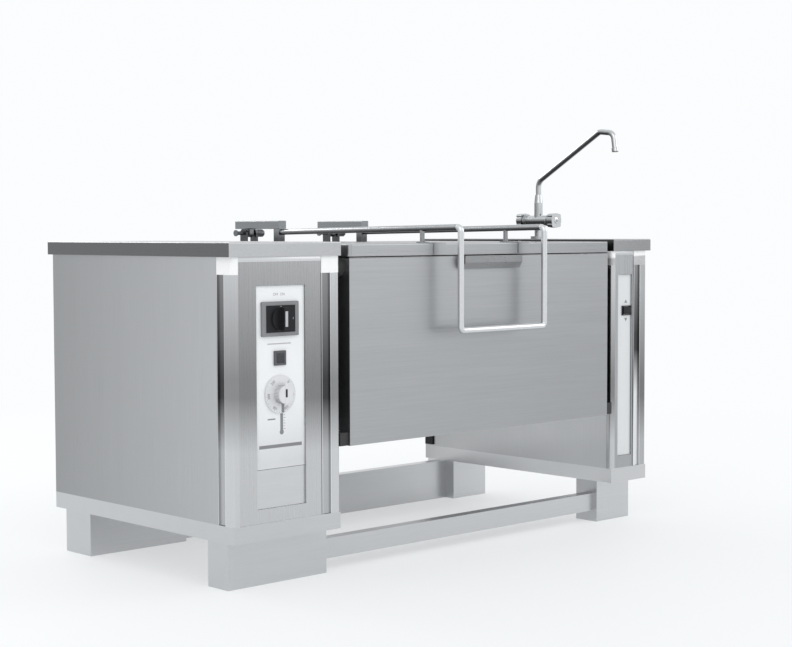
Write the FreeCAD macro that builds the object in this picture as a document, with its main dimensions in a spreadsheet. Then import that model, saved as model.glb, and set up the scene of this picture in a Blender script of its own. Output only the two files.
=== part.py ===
import FreeCAD, Part
import math
import os
import re

import Sketcher
from FreeCAD import Placement, Rotation, Vector

# Tilting bratt pan between two pillars, in millimetres.
# Formulas count x from the left side, y from the front face and z from the floor.
# Every sub-part is then moved so that the origin is the bottom centre of the whole.

SIZES = {
    # whole machine
    "machine_width": 1700,
    "machine_depth": 850,
    "worktop_height": 900,
    "body_bottom": 130,
    "left_width": 375,
    "right_width": 185,
    "sheet": 1.5,
    "fit": 0.5,
    "fold": 15,
    # pillars
    "top_thickness": 37,
    "top_overhang": 13,
    "top_round": 3,
    "front_set": 6,
    "column_face": 64,
    "column_edge": 20,
    "slim_edge": 16,
    "column_round": 9,
    "groove_set": 2,
    "groove_width": 28,
    "groove_depth": 5,
    "tray_depth": 45,
    "cap_height": 45,
    "panel_set": 2,
    "front_fold": 8,
    "post": 40,
    "post_wall": 3,
    "post_inset": 34,
    "front_post": 80,
    "rear_post": 74,
    "rail": 30,
    "bearing_plate": 8,
    "plate_drop": 90,
    # plinths and beams
    "plinth_inset": 26,
    "plinth_front": 65,
    "plinth_depth": 85,
    "rear_plinth_depth": 126,
    "rear_plinth_set": 18,
    "plinth_wall": 2,
    "beam_low": 35,
    "beam_height": 55,
    "beam_depth": 36,
    "rear_beam_depth": 35,
    "foot_radius": 25,
    "foot_disc": 8,
    "foot_stem": 8,
    "leg_lift": 30,
    # controls on the left pillar
    "recess_left": 93,
    "recess_width": 163,
    "control_shift": 3,
    "recess_lift": 82,
    "recess_drop": 75,
    "cover_height": 101,
    "plate_set": 5,
    "plate_thickness": 2,
    "switch_drop": 86,
    "switch_width": 122,
    "switch_tall": 90,
    "switch_deep": 7,
    "knob_radius": 31,
    "knob_collar": 6,
    "grip_width": 15,
    "grip_reach": 18,
    "lamp_gap": 38,
    "lamp_side": 38,
    "lamp_deep": 5,
    "lens_side": 26,
    "lamp_stub": 9,
    "lamp_stub_deep": 14,
    "dial_gap": 25,
    "dial_radius": 50,
    "dial_skirt": 5,
    "dial_hub": 24,
    "dial_reach": 22,
    "ridge_width": 8,
    "ridge_rise": 2,
    "ridge_over": 6,
    "knob_shaft": 4,
    "shaft_clearance": 2,
    "shaft_reach": 10,
    "shaft_bore": 12,
    "running": 0.05,
    "switch_box": 66,
    "switch_box_deep": 52,
    "thermostat_radius": 24,
    "thermostat_deep": 40,
    # tilt switch on the right pillar
    "strip_left": 33,
    "strip_width": 68,
    "rocker_in": 10,
    "rocker_drop": 114,
    "rocker_width": 34,
    "rocker_tall": 22,
    "rocker_frame": 4,
    "rocker_deep": 4,
    "rocker_pin": 1.5,
    "rocker_hole": 1,
    "rocker_side": 0.4,
    "rocker_swing": 2.5,
    "rocker_proud": 3,
    "rocker_behind": 4,
    # pan
    "pan_gap": 30,
    "pan_bottom": 350,
    "rim_drop": 43,
    "pan_depth": 820,
    "tub_side": 34,
    "tub_front": 62,
    "tub_rear": 40,
    "tub_deep": 237,
    "tub_wall": 3,
    "tub_round": 45,
    "floor_round": 22,
    "heating_plate": 12,
    "element_radius": 4.5,
    "element_pitch": 90,
    "element_legs": 6,
    "element_set": 60,
    "spout_width": 235,
    "spout_drop": 35,
    "spout_reach": 22,
    "spout_wall": 2,
    "tilt_y": 45,
    "tilt_drop": 27,
    "trunnion_radius": 16,
    "shaft_out": 10,
    "boss_front": 26,
    "boss_back": 34,
    "boss_drop": 44,
    "bush_radius": 26,
    "bush_thickness": 24,
    "buffer_width": 38,
    "buffer_height": 35,
    # tilt drive
    "bearing_radius": 27,
    "bearing_length": 24,
    "shaft_gap": 2,
    "gearbox_right": 230,
    "gearbox_width": 90,
    "gearbox_front": 25,
    "gearbox_depth": 130,
    "gearbox_height": 82,
    "gearbox_drop": 60,
    "worm_drop": 50,
    "worm_housing": 30,
    "motor_radius": 56,
    "motor_length": 240,
    "motor_flange": 14,
    "motor_cowl": 40,
    "motor_step": 6,
    # lid
    "lid_seat": 3,
    "skirt": 33,
    "lid_side": 2,
    "lid_front": 3,
    "lid_over": 30,
    "lid_round": 10,
    "liner_depth": 24,
    "liner_inset": 42,
    "liner_round": 12,
    "arm_spacing": 350,
    "arm_radius": 9,
    "arm_lift": 32.5,
    "arm_slope": 12.5,
    "handle_out": 60,
    "handle_drop": 290,
    "handle_bend": 12.5,
    "grip_bend": 11,
    "support_y": 95,
    "support_radius": 7,
    "support_base": 18,
    "support_flange": 4,
    "bracket_left": 51,
    "bracket_width": 46,
    "bracket_sheet": 2.5,
    "bracket_return": 44,
    "hinge_set": 72,
    "hinge_lift": 65,
    "bar_reach": 168,
    "bar_tail": 53,
    "bar_width": 30,
    "bar_above": 13,
    "bar_deep": 26,
    "bar_foot_set": 152,
    "bar_foot_length": 26,
    "bar_foot_width": 24,
    "lug_width": 16,
    "lug_length": 26,
    "ear_thickness": 8,
    "ear_gap": 1.5,
    "ear_round": 15,
    "pin_radius": 6,
    "pin_head": 4,
    "pin_out": 56,
    "rail_drop": 7,
    "rail_tall": 50,
    "rail_depth": 50,
    "rail_half": 60,
    "ear_step": 14,
    "ear_chamfer": 8,
    "spring_coil": 11,
    "spring_wire": 3,
    "spring_pitch": 5,
    "spring_turns": 5,
    # mixer tap
    "tap_inset": 99,
    "tap_y": 392,
    "tap_flange": 26,
    "tap_flange_height": 9,
    "tap_neck": 13,
    "mixer_lift": 61,
    "mixer_radius": 17,
    "mixer_length": 116,
    "mixer_neck": 14,
    "spout_socket": 20,
    "spout_entry": 18,
    "hub_depth": 15,
    "neck_lift": 120,
    "hub_radius": 7,
    "hub_gap": 0.5,
    "handle_radius": 28,
    "handle_length": 21,
    "handle_lobe": 8,
    "spout_pipe": 9,
    "spout_nut": 14,
    "spout_nut_height": 26,
    "spout_riser": 70,
    "spout_climb": 154,
    "spout_run": 262,
    "spout_tip": 318,
    "spout_hook": 60,
    "spout_bend": 34,
    "hook_bend": 24,
    "shank_radius": 10,
    "shank_drop": 60,
    # services at the rear
    "gland_x": 110,
    "gland_height": 190,
    "gland_radius": 15,
    "gland_bore": 7,
    "gland_out": 24,
    "inlet_radius": 10.5,
    "inlet_out": 22,
    "cold_inlet": 200,
    "hot_inlet": 280,
    "pipe_radius": 5,
    "pipe_bend": 30,
    "pipe_split": 9,
    "plug_side": 36,
    "plug_rear": 4,
    "plug_out": 6,
    "louvre_count": 6,
    "louvre_pitch": 32,
    "louvre_width": 150,
    "louvre_height": 8,
    "louvre_low": 300,
    "plug_lift": 5,
    "gland_step": 3,
    "gland_behind": 10,
}

ALIAS = re.compile(r"\b(" + "|".join(sorted(SIZES, key=len, reverse=True)) + r")\b")
PLANES = {"X": "YZ_Plane", "Y": "XZ_Plane", "Z": "XY_Plane"}
AXES = {"X": Vector(1, 0, 0), "Y": Vector(0, 1, 0), "Z": Vector(0, 0, 1)}

# Places that are worked out from the sizes
PLACES = {
    "pan_rim": "(worktop_height - rim_drop)",
    "tub_floor": "(pan_rim - tub_deep)",
    "tilt_height": "(pan_rim - tilt_drop)",
    "recess_bottom": "(body_bottom + recess_lift)",
    "recess_top": "(worktop_height - top_thickness - recess_drop)",
    "plate_middle": "(recess_left + recess_width / 2 - control_shift)",
    "switch_height": "(recess_top - switch_drop)",
    "lamp_height": "(switch_height - switch_tall / 2 - lamp_gap - lamp_side / 2)",
    "dial_height": "(lamp_height - lamp_side / 2 - dial_gap - dial_radius)",
    "strip_bottom": "(recess_bottom + sheet)",
    "rocker_height": "(recess_top - rocker_drop)",
    "pan_middle": "((machine_width - right_width + left_width) / 2)",
    "lid_rear": "(pan_depth + lid_over)",
    "lid_top": "(pan_rim + lid_seat + skirt)",
    "arm_left": "(pan_middle - arm_spacing / 2)",
    "arm_rear_height": "(lid_top + arm_lift)",
    "arm_front_height": "(arm_rear_height + arm_slope)",
    "handle_bottom": "(arm_front_height - handle_drop)",
    "hinge_y": "(pan_depth + hinge_set)",
    "hinge_height": "(pan_rim + hinge_lift)",
    "bar_front": "(hinge_y - bar_reach)",
    "bar_rear": "(hinge_y + bar_tail)",
    "bar_low": "(hinge_height + bar_above)",
    "bar_high": "(bar_low + bar_deep)",
    "bar_foot": "(hinge_y - bar_foot_set)",
    "rail_high": "(pan_rim - rail_drop)",
    "rail_low": "(rail_high - rail_tall)",
    "mixer_height": "(worktop_height + mixer_lift)",
    "neck_top": "(worktop_height + neck_lift)",
    "spout_rise": "(neck_top + spout_riser)",
    "spout_peak": "(spout_rise + spout_climb)",
    "spout_end": "(spout_peak - spout_hook)",
}
PLACE = re.compile(r"\b(" + "|".join(sorted(PLACES, key=len, reverse=True)) + r")\b")

# Faces and edges that several sub-parts share
LEFT_OUT = "top_overhang"
LEFT_IN = "left_width"
RIGHT_IN = "(machine_width - right_width)"
RIGHT_OUT = "(machine_width - top_overhang)"
BODY_FRONT = "front_set"
BODY_REAR = "(machine_depth - front_set)"
BODY_TOP = "(worktop_height - top_thickness)"
PANEL_FRONT = "(front_set + panel_set)"
PLATE_FRONT = "(front_set + panel_set + plate_set)"
PLATE_BACK = "(front_set + panel_set + plate_set + plate_thickness)"
PAN_LEFT = "(left_width + pan_gap)"
PAN_RIGHT = "(machine_width - right_width - pan_gap)"
TUB_LEFT = "(left_width + pan_gap + tub_side)"
TUB_RIGHT = "(machine_width - right_width - pan_gap - tub_side)"
TUB_BACK = "(pan_depth - tub_rear)"
SPOUT_LEFT = "(pan_middle - spout_width / 2)"
SPOUT_RIGHT = "(pan_middle + spout_width / 2)"
LID_LEFT = "(left_width + pan_gap - lid_side)"
LID_RIGHT = "(machine_width - right_width - pan_gap + lid_side)"
LID_BOTTOM = "(pan_rim + lid_seat)"
LID_TOP = "lid_top"
ARMS = ["arm_left", "(arm_left + arm_spacing)"]
TAP_X = "(machine_width - tap_inset)"
FOOT_FRONT = "(bar_foot - bar_foot_length / 2)"
ARM_FRONT = "(handle_bend - handle_out)"
ARM_AT_SUPPORT = ("(arm_front_height - (arm_front_height - arm_rear_height)"
                  f" * (support_y - {ARM_FRONT}) / ({FOOT_FRONT} - {ARM_FRONT}))")
REACH_MIDDLE = "(bar_rear - handle_out - arm_radius) / 2"

doc = FreeCAD.newDocument("bratt_pan")
sheet = doc.addObject("Spreadsheet::Sheet", "sizes")
nodes = {}


def fill_sheet():
    for row, (name, value) in enumerate(SIZES.items(), 1):
        sheet.set(f"A{row}", name)
        sheet.set(f"B{row}", str(value))
        sheet.setAlias(f"B{row}", name)
    doc.recompute()


def formula(text):
    """The text of a formula with its named places spelled out and its sizes taken from the sheet."""
    text = str(text)
    while PLACE.search(text):
        text = PLACE.sub(lambda found: PLACES[found.group()], text)
    return ALIAS.sub(r"sizes.\1", text)


def bind(thing, prop, text):
    thing.setExpression(prop, formula(text))


def value(text):
    found = sheet.evalExpression(formula(text))
    return float(getattr(found, "Value", found))


def keep(thing, name):
    """A finished sub-part, moved from the machine's corner to the common origin."""
    thing.Label = name
    bind(thing, "Placement.Base.x", "-machine_width / 2")
    bind(thing, "Placement.Base.y", "-(" + REACH_MIDDLE + ")")
    nodes[name] = thing
    return thing


# Sketches and features of a body

def new_body(name):
    return doc.addObject("PartDesign::Body", name + "_body")


def new_sketch(body, axis, start):
    sketch = body.newObject("Sketcher::SketchObject", body.Name + "_outline")
    plane = next(item for item in body.Origin.OriginFeatures if item.Role == PLANES[axis])
    sketch.AttachmentSupport = [(plane, "")]
    sketch.MapMode = "FlatFace"
    side = "-" if axis == "Y" else ""
    bind(sketch, "AttachmentOffset.Base.z", f"{side}({start})")
    return sketch


def place_point(sketch, index, corner, point):
    for kind, text in (("DistanceX", point[0]), ("DistanceY", point[1])):
        number = sketch.addConstraint(Sketcher.Constraint(kind, -1, 1, index, corner, value(text)))
        bind(sketch, f"Constraints[{number}]", text)


def draw_outline(sketch, points):
    first = sketch.GeometryCount
    spots = [Vector(value(u), value(v), 0) for u, v in points]
    count = len(spots)
    for index, spot in enumerate(spots):
        sketch.addGeometry(Part.LineSegment(spot, spots[(index + 1) % count]), False)
    for index in range(count):
        after = first + (index + 1) % count
        sketch.addConstraint(Sketcher.Constraint("Coincident", first + index, 2, after, 1))
    for index, point in enumerate(points):
        place_point(sketch, first + index, 1, point)


def draw_circle(sketch, centre, radius):
    spot = Vector(value(centre[0]), value(centre[1]), 0)
    index = sketch.addGeometry(Part.Circle(spot, Vector(0, 0, 1), value(radius)), False)
    place_point(sketch, index, 3, centre)
    number = sketch.addConstraint(Sketcher.Constraint("Radius", index, value(radius)))
    bind(sketch, f"Constraints[{number}]", radius)


def run_feature(body, kind, sketch, axis, length):
    feature = body.newObject("PartDesign::" + kind, body.Name + "_" + kind.lower())
    feature.Profile = sketch
    feature.Reversed = (axis == "Y") == (kind == "Pad")
    bind(feature, "Length", length)
    doc.recompute()
    return feature


def rectangle(low, high):
    return [(low[0], low[1]), (high[0], low[1]), (high[0], high[1]), (low[0], high[1])]


def pad(body, axis, start, end, outline):
    sketch = new_sketch(body, axis, start)
    draw_outline(sketch, outline)
    return run_feature(body, "Pad", sketch, axis, f"({end}) - ({start})")


def pocket(body, axis, start, end, outlines=(), circles=()):
    sketch = new_sketch(body, axis, start)
    for outline in outlines:
        draw_outline(sketch, outline)
    for centre, radius in circles:
        draw_circle(sketch, centre, radius)
    before = body.Shape.Volume
    feature = run_feature(body, "Pocket", sketch, axis, f"({end}) - ({start})")
    if body.Shape.Volume >= before:
        raise ValueError("nothing was cut from " + body.Name)
    return feature


def edges_where(shape, test):
    return ["Edge%d" % number for number, edge in enumerate(shape.Edges, 1) if test(edge)]


def along(edge, axis):
    ends = [vertex.Point for vertex in edge.Vertexes]
    return len(ends) == 2 and (ends[1] - ends[0]).normalize().cross(AXES[axis]).Length < 0.001


def round_edges(body, radius, test):
    base = body.Tip
    feature = body.newObject("PartDesign::Fillet", body.Name + "_fillet")
    feature.Base = (base, edges_where(base.Shape, test))
    bind(feature, "Radius", radius)
    doc.recompute()
    return feature


# Plain solids and their combinations

def block(low, high):
    thing = doc.addObject("Part::Box", "block")
    for side, start, end in zip(("Length", "Width", "Height"), low, high):
        bind(thing, side, f"({end}) - ({start})")
    for letter, start in zip("xyz", low):
        bind(thing, "Placement.Base." + letter, start)
    return thing


def rod(axis, start, end, centre, radius):
    """A cylinder along axis; centre is its place in the two other directions, in order."""
    thing = doc.addObject("Part::Cylinder", "rod")
    turn = {"X": Rotation(Vector(0, 1, 0), 90), "Y": Rotation(Vector(1, 0, 0), -90), "Z": Rotation()}
    thing.Placement = Placement(Vector(), turn[axis])
    bind(thing, "Radius", radius)
    bind(thing, "Height", f"({end}) - ({start})")
    letters = [letter for letter in "xyz" if letter != axis.lower()]
    bind(thing, "Placement.Base." + axis.lower(), start)
    for letter, text in zip(letters, centre):
        bind(thing, "Placement.Base." + letter, text)
    return thing


def cone(start, end, centre, low_radius, high_radius):
    thing = doc.addObject("Part::Cone", "taper")
    bind(thing, "Radius1", low_radius)
    bind(thing, "Radius2", high_radius)
    bind(thing, "Height", f"({end}) - ({start})")
    for letter, text in zip("xyz", (centre[0], centre[1], start)):
        bind(thing, "Placement.Base." + letter, text)
    return thing


def cut(base, *tools):
    for tool in tools:
        thing = doc.addObject("Part::Cut", "cut")
        thing.Base = base
        thing.Tool = tool
        base = thing
    doc.recompute()
    return base


def fuse(*pieces):
    thing = doc.addObject("Part::MultiFuse", "joined")
    thing.Shapes = list(pieces)
    thing.Refine = False
    doc.recompute()
    return thing


def group(*pieces):
    """Separate solids that share one sub-part."""
    thing = doc.addObject("Part::Compound", "group")
    thing.Links = list(pieces)
    doc.recompute()
    return thing


def shaped(shape):
    thing = doc.addObject("Part::Feature", "formed")
    thing.Shape = shape
    return thing


def bent_path(points, bends):
    """Straight runs joined by tangent arcs, one bend radius for each inner point."""
    spots = [Vector(*[value(text) for text in point]) for point in points]
    edges = []
    last = spots[0]
    for before, here, after, bend in zip(spots, spots[1:], spots[2:], bends):
        back = (before - here).normalize()
        ahead = (after - here).normalize()
        half = back.getAngle(ahead) / 2
        reach = value(bend) / math.tan(half)
        start = here + back * reach
        end = here + ahead * reach
        to_centre = (back + ahead).normalize()
        middle = here + to_centre * (value(bend) / math.sin(half) - value(bend))
        edges.append(Part.LineSegment(last, start).toShape())
        edges.append(Part.Arc(start, middle, end).toShape())
        last = end
    edges.append(Part.LineSegment(last, spots[-1]).toShape())
    return Part.Wire(edges)


def bent_bar(points, bends, radius, bore=None):
    path = bent_path(points, bends)
    first = path.Edges[0]
    heading = first.tangentAt(first.FirstParameter)
    start = first.valueAt(first.FirstParameter)
    ring = Part.Wire([Part.makeCircle(value(radius), start, heading)])
    solid = path.makePipeShell([ring], True, False)
    if bore is None:
        return solid
    hole = Part.Wire([Part.makeCircle(value(bore), start, heading)])
    return solid.cut(path.makePipeShell([hole], True, False))


def square_bar(points, bends, half):
    """A flat-sided bar along a level bent path that starts along x."""
    path = bent_path(points, bends)
    start = path.Edges[0].valueAt(path.Edges[0].FirstParameter)
    side = value(half)
    signs = ((-1, -1), (1, -1), (1, 1), (-1, 1))
    corners = [start + Vector(0, y * side, z * side) for y, z in signs]
    return path.makePipeShell([Part.makePolygon(corners + corners[:1])], True, False)


# Pillars

def folded_panel(name, axis, start, end, low, high, inner=True, holes=(), windows=()):
    """A sheet with its four edges folded back; inner says which way the folds point."""
    body = new_body(name)
    pad(body, axis, start, end, rectangle(low, high))
    face_low, face_high = (f"({start}) + sheet", end) if inner else (start, f"({end}) - sheet")
    inside = rectangle([f"({text}) + sheet" for text in low], [f"({text}) - sheet" for text in high])
    pocket(body, axis, face_low, face_high, [inside])
    if holes or windows:
        pocket(body, axis, start, end, windows, holes)
    return keep(body, name)


def front_panel(name, left, right, window):
    """The sheet between two columns; its window has a collar that the sunk plate sits in."""
    low = (f"({left}) + fit", "body_bottom + tray_depth")
    high = (f"({right}) - fit", BODY_TOP)
    panel = folded_panel(name, "Y", PANEL_FRONT, f"{PANEL_FRONT} + front_fold", low, high)
    pad(panel, "Y", f"{PANEL_FRONT} + sheet", PLATE_BACK, grown_rectangle(window, "fit + sheet"))
    pocket(panel, "Y", PANEL_FRONT, PLATE_BACK, [grown_rectangle(window, "fit")])
    return panel


def grown_rectangle(window, margin):
    return rectangle([f"({text}) - ({margin})" for text in window[0]],
                     [f"({text}) + ({margin})" for text in window[1]])


def rear_panel(name, left, right, holes, louvre_left):
    low = (f"{left} + fold + fit", "body_bottom + tray_depth")
    high = (f"{right} - fold - fit", BODY_TOP)
    slots = []
    for number in range(int(value("louvre_count"))):
        base = f"louvre_low + {number} * louvre_pitch"
        slots.append(rectangle((louvre_left, base),
                               (f"{louvre_left} + louvre_width", f"{base} + louvre_height")))
    windows = slots if louvre_left else ()
    return folded_panel(name, "Y", f"{BODY_REAR} - fold", BODY_REAR, low, high, False, holes, windows)


def side_panel(name, face, outward_left, front, holes=()):
    """A pillar's side sheet, folded inwards; its plain face is at face."""
    low = (front, "body_bottom + tray_depth")
    high = (BODY_REAR, BODY_TOP)
    if outward_left:
        return folded_panel(name, "X", face, f"{face} + fold", low, high, True, holes)
    return folded_panel(name, "X", f"{face} - fold", face, low, high, False, holes)


def top_slab(name, left, right, hole=None):
    body = new_body(name)
    pad(body, "Z", BODY_TOP, "worktop_height", rectangle((left, "0"), (right, "machine_depth")))
    corner = "top_overhang + front_set"
    pocket(body, "Z", BODY_TOP, "worktop_height - 2 * sheet", [
        rectangle((f"{left} + {corner}", corner), (f"{right} - ({corner})", f"machine_depth - ({corner})"))])
    round_edges(body, "top_round", lambda edge: edge.CenterOfMass.z > value("worktop_height - sheet"))
    if hole:
        pocket(body, "Z", "worktop_height - 3 * sheet", "worktop_height", circles=[hole])
    return keep(body, name)


def base_tray(name, left, right):
    """The open tray that closes a pillar's underside and shows as a rail at the front."""
    body = new_body(name)
    low = (left, BODY_FRONT)
    high = (right, BODY_REAR)
    pad(body, "Z", "body_bottom", "body_bottom + tray_depth", rectangle(low, high))
    inside = rectangle([f"({text}) + sheet" for text in low], [f"({text}) - sheet" for text in high])
    pocket(body, "Z", "body_bottom + sheet", "body_bottom + tray_depth", [inside])
    posts = []
    for post_left in post_places(left, right):
        for post_front in ("front_post", post_rear()):
            posts.append(rectangle(
                (f"{post_left} - fit", f"{post_front} - fit"),
                (f"{post_left} + post + fit", f"{post_front} + post + fit")))
    pocket(body, "Z", "body_bottom", "body_bottom + sheet", posts)
    return keep(body, name)


def post_places(left, right):
    return [f"({left}) + post_inset", f"({right}) - post_inset - post"]


def post_rear():
    return f"({BODY_REAR} - rear_post)"


def square_tube(low, high, axis):
    """A hollow square tube along axis, open at its ends."""
    inner_low = []
    inner_high = []
    for letter, start, end in zip("XYZ", low, high):
        wall = "0" if letter == axis else "post_wall"
        inner_low.append(f"{start} + {wall}")
        inner_high.append(f"{end} - {wall}")
    return cut(block(low, high), block(inner_low, inner_high))


def pillar_frame(name, left, right, plate_left):
    places = post_places(left, right)
    pieces = []
    for place in places:
        for start in ("front_post", post_rear()):
            pieces.append(square_tube(
                (place, start, "leg_lift + post_wall"),
                (f"{place} + post", f"{start} + post", BODY_TOP), "Z"))
            pieces.append(block((place, start, "leg_lift"),
                                (f"{place} + post", f"{start} + post", "leg_lift + post_wall")))
        pieces.append(square_tube(
            (place, "front_post + post", f"{BODY_TOP} - rail"),
            (f"{place} + post", post_rear(), BODY_TOP), "Y"))
        pieces.append(square_tube(
            (place, "front_post + post", "body_bottom + tray_depth"),
            (f"{place} + post", post_rear(), "body_bottom + tray_depth + rail"), "Y"))
    pieces.append(square_tube(
        (f"{places[0]} + post", post_rear(), f"{BODY_TOP} - rail"),
        (places[1], f"{post_rear()} + post", BODY_TOP), "X"))
    plate = block(
        (plate_left, "tilt_y - bearing_radius", f"{BODY_TOP} - plate_drop"),
        (f"{plate_left} + bearing_plate", "front_post + post", BODY_TOP))
    bore = rod("X", f"{plate_left} - 1", f"{plate_left} + bearing_plate + 1",
               ("tilt_y", "tilt_height"), "trunnion_radius + shaft_gap")
    pieces.append(cut(plate, bore))
    return keep(fuse(*pieces), name)


def column_outline(corner_x, corner_y, width, depth):
    return rectangle((corner_x, corner_y), (f"{corner_x} + {width}", f"{corner_y} + {depth}"))


COLUMNS = [
    (LEFT_OUT, "column_edge", "column_face", -1),
    (f"({LEFT_IN} - column_face)", "column_face", "column_edge", 1),
    (RIGHT_IN, "slim_edge", "column_edge", -1),
    (f"({RIGHT_OUT} - column_face)", "column_face", "column_edge", 1),
]


def column(corner, width, depth, side, bottom, top):
    """An upright with its outer front edge rounded; side -1 rounds the left edge."""
    body = new_body("upright")
    pad(body, "Z", bottom, top, column_outline(corner, BODY_FRONT, width, depth))
    edge_x = value(corner) if side < 0 else value(f"{corner} + {width}")

    def front_corner(edge):
        middle = edge.CenterOfMass
        at_corner = abs(middle.x - edge_x) < 0.01 and abs(middle.y - value(BODY_FRONT)) < 0.01
        return at_corner and along(edge, "Z")

    round_edges(body, "column_round", front_corner)
    return body


def grooved_column(corner, width, depth, side, bottom, top):
    """A column with an open channel beside the panel that it holds."""
    body = column(corner, width, depth, side, bottom, top)
    if depth == "column_face":
        far = f"{BODY_FRONT} + {depth} - groove_set"
        pocket(body, "X", corner, f"{corner} + groove_depth", [
            rectangle((f"{far} - groove_width", bottom), (far, top))])
    elif width == "column_face":
        near = f"{corner} + groove_set"
        pocket(body, "Y", BODY_FRONT, f"{BODY_FRONT} + groove_depth", [
            rectangle((near, bottom), (f"{near} + groove_width", top))])
    return body


def columns_and_caps():
    cap_low = f"({BODY_TOP} - cap_height)"
    uprights = [grooved_column(*item, "body_bottom + tray_depth", cap_low) for item in COLUMNS]
    caps = [column(*item, cap_low, BODY_TOP) for item in COLUMNS]
    keep(group(*uprights), "front_columns")
    keep(group(*caps), "column_caps")


def build_pillars():
    pillar_frame("left_frame", LEFT_OUT, LEFT_IN, f"({LEFT_IN} - post_inset - post - bearing_plate)")
    pillar_frame("right_frame", RIGHT_IN, RIGHT_OUT, f"({RIGHT_IN} + post_inset + post)")
    behind = f"({BODY_FRONT} + column_edge + fit)"
    bore = [(("tilt_y", "tilt_height"), "trunnion_radius + 2 * shaft_gap")]
    side_panel("left_outer_panel", LEFT_OUT, True, f"{BODY_FRONT} + column_face + fit")
    side_panel("left_inner_panel", LEFT_IN, False, behind, bore)
    side_panel("right_inner_panel", RIGHT_IN, True, behind, bore)
    side_panel("right_outer_panel", RIGHT_OUT, False, behind)
    recess = (("recess_left", "recess_bottom"), ("recess_left + recess_width", "recess_top"))
    front_panel("left_front_panel", f"{LEFT_OUT} + column_edge", f"{LEFT_IN} - column_face", recess)
    strip = ((f"{RIGHT_IN} + strip_left", "strip_bottom"),
             (f"{RIGHT_IN} + strip_left + strip_width", "recess_top"))
    front_panel("right_front_panel", f"{RIGHT_IN} + slim_edge", f"{RIGHT_OUT} - column_face", strip)
    gland = [(("gland_x", "gland_height"), "gland_bore + 3")]
    inlets = [((TAP_X, height), "pipe_radius + 1") for height in ("cold_inlet", "hot_inlet")]
    rear_panel("left_rear_panel", LEFT_OUT, LEFT_IN, gland, f"({LEFT_OUT} + {LEFT_IN} - louvre_width) / 2")
    rear_panel("right_rear_panel", RIGHT_IN, RIGHT_OUT, inlets, "")
    base_tray("left_base", LEFT_OUT, LEFT_IN)
    base_tray("right_base", RIGHT_IN, RIGHT_OUT)
    top_slab("left_top", "0", "left_width")
    top_slab("right_top", RIGHT_IN, "machine_width", ((TAP_X, "tap_y"), "shank_radius + 1"))
    columns_and_caps()


# Plinths, feet and beams

def plinth(left, right, front, depth):
    outer = block((left, front, "0"), (right, f"{front} + {depth}", "body_bottom"))
    inner = block((f"{left} + plinth_wall", f"{front} + plinth_wall", "-1"),
                  (f"{right} - plinth_wall", f"{front} + {depth} - plinth_wall", "body_bottom + 1"))
    return cut(outer, inner)


def build_base():
    rear = "(machine_depth - rear_plinth_set - rear_plinth_depth)"
    covers = []
    for left, right in (("(top_overhang + plinth_inset)", "left_width"),
                        (RIGHT_IN, f"({RIGHT_OUT} - plinth_inset / 2)")):
        covers.append(plinth(left, right, "plinth_front", "plinth_depth"))
        covers.append(plinth(left, right, rear, "rear_plinth_depth"))
    keep(group(*covers), "plinths")
    feet = []
    for left, right in ((LEFT_OUT, LEFT_IN), (RIGHT_IN, RIGHT_OUT)):
        for place in post_places(left, right):
            for start in ("front_post", post_rear()):
                centre = (f"{place} + post / 2", f"{start} + post / 2")
                disc = rod("Z", "0", "foot_disc", centre, "foot_radius")
                stem = rod("Z", "foot_disc", "leg_lift", centre, "foot_stem")
                feet.append(fuse(disc, stem))
    keep(group(*feet), "levelling_feet")
    front = square_tube(("left_width", "front_post", "beam_low"),
                        (RIGHT_IN, "front_post + beam_depth", "beam_low + beam_height"), "X")
    keep(front, "front_beam")
    tall = square_tube(("left_width", f"{rear} + post", "0"),
                       (RIGHT_IN, f"{rear} + post + rear_beam_depth", "body_bottom"), "X")
    keep(tall, "rear_beam")


# Controls

def build_controls():
    plate = new_body("control_plate")
    low_edge = "recess_bottom + cover_height"
    pad(plate, "Y", PLATE_FRONT, PLATE_BACK, rectangle(
        ("recess_left", f"{low_edge} + fit"), ("recess_left + recess_width", "recess_top")))
    pocket(plate, "Y", PLATE_FRONT, PLATE_BACK, circles=[
        (("plate_middle", "switch_height"), "knob_shaft + shaft_clearance"),
        (("plate_middle", "lamp_height"), "lamp_stub + fit"),
        (("plate_middle", "dial_height"), "knob_shaft + shaft_clearance")])
    keep(plate, "control_plate")
    cover = new_body("service_cover")
    pad(cover, "Y", PLATE_FRONT, PLATE_BACK, rectangle(
        ("recess_left", "recess_bottom"), ("recess_left + recess_width", f"{low_edge} - fit")))
    keep(cover, "service_cover")
    build_switch()
    build_lamp()
    build_dial()
    gear = [
        block(("plate_middle - switch_box / 2", PLATE_BACK, "switch_height - switch_box / 2"),
              ("plate_middle + switch_box / 2", f"{PLATE_BACK} + switch_box_deep",
               "switch_height + switch_box / 2")),
        rod("Y", PLATE_BACK, f"{PLATE_BACK} + thermostat_deep", ("plate_middle", "dial_height"),
            "thermostat_radius"),
    ]
    bores = [
        rod("Y", f"{PLATE_BACK} - 1", f"{PLATE_BACK} + shaft_bore", ("plate_middle", "switch_height"),
            "knob_shaft + running"),
        rod("Y", f"{PLATE_BACK} - 1", f"{PLATE_BACK} + shaft_bore", ("plate_middle", "dial_height"),
            "knob_shaft + running"),
    ]
    keep(group(*[cut(body, bore) for body, bore in zip(gear, bores)]), "switch_gear")


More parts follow.
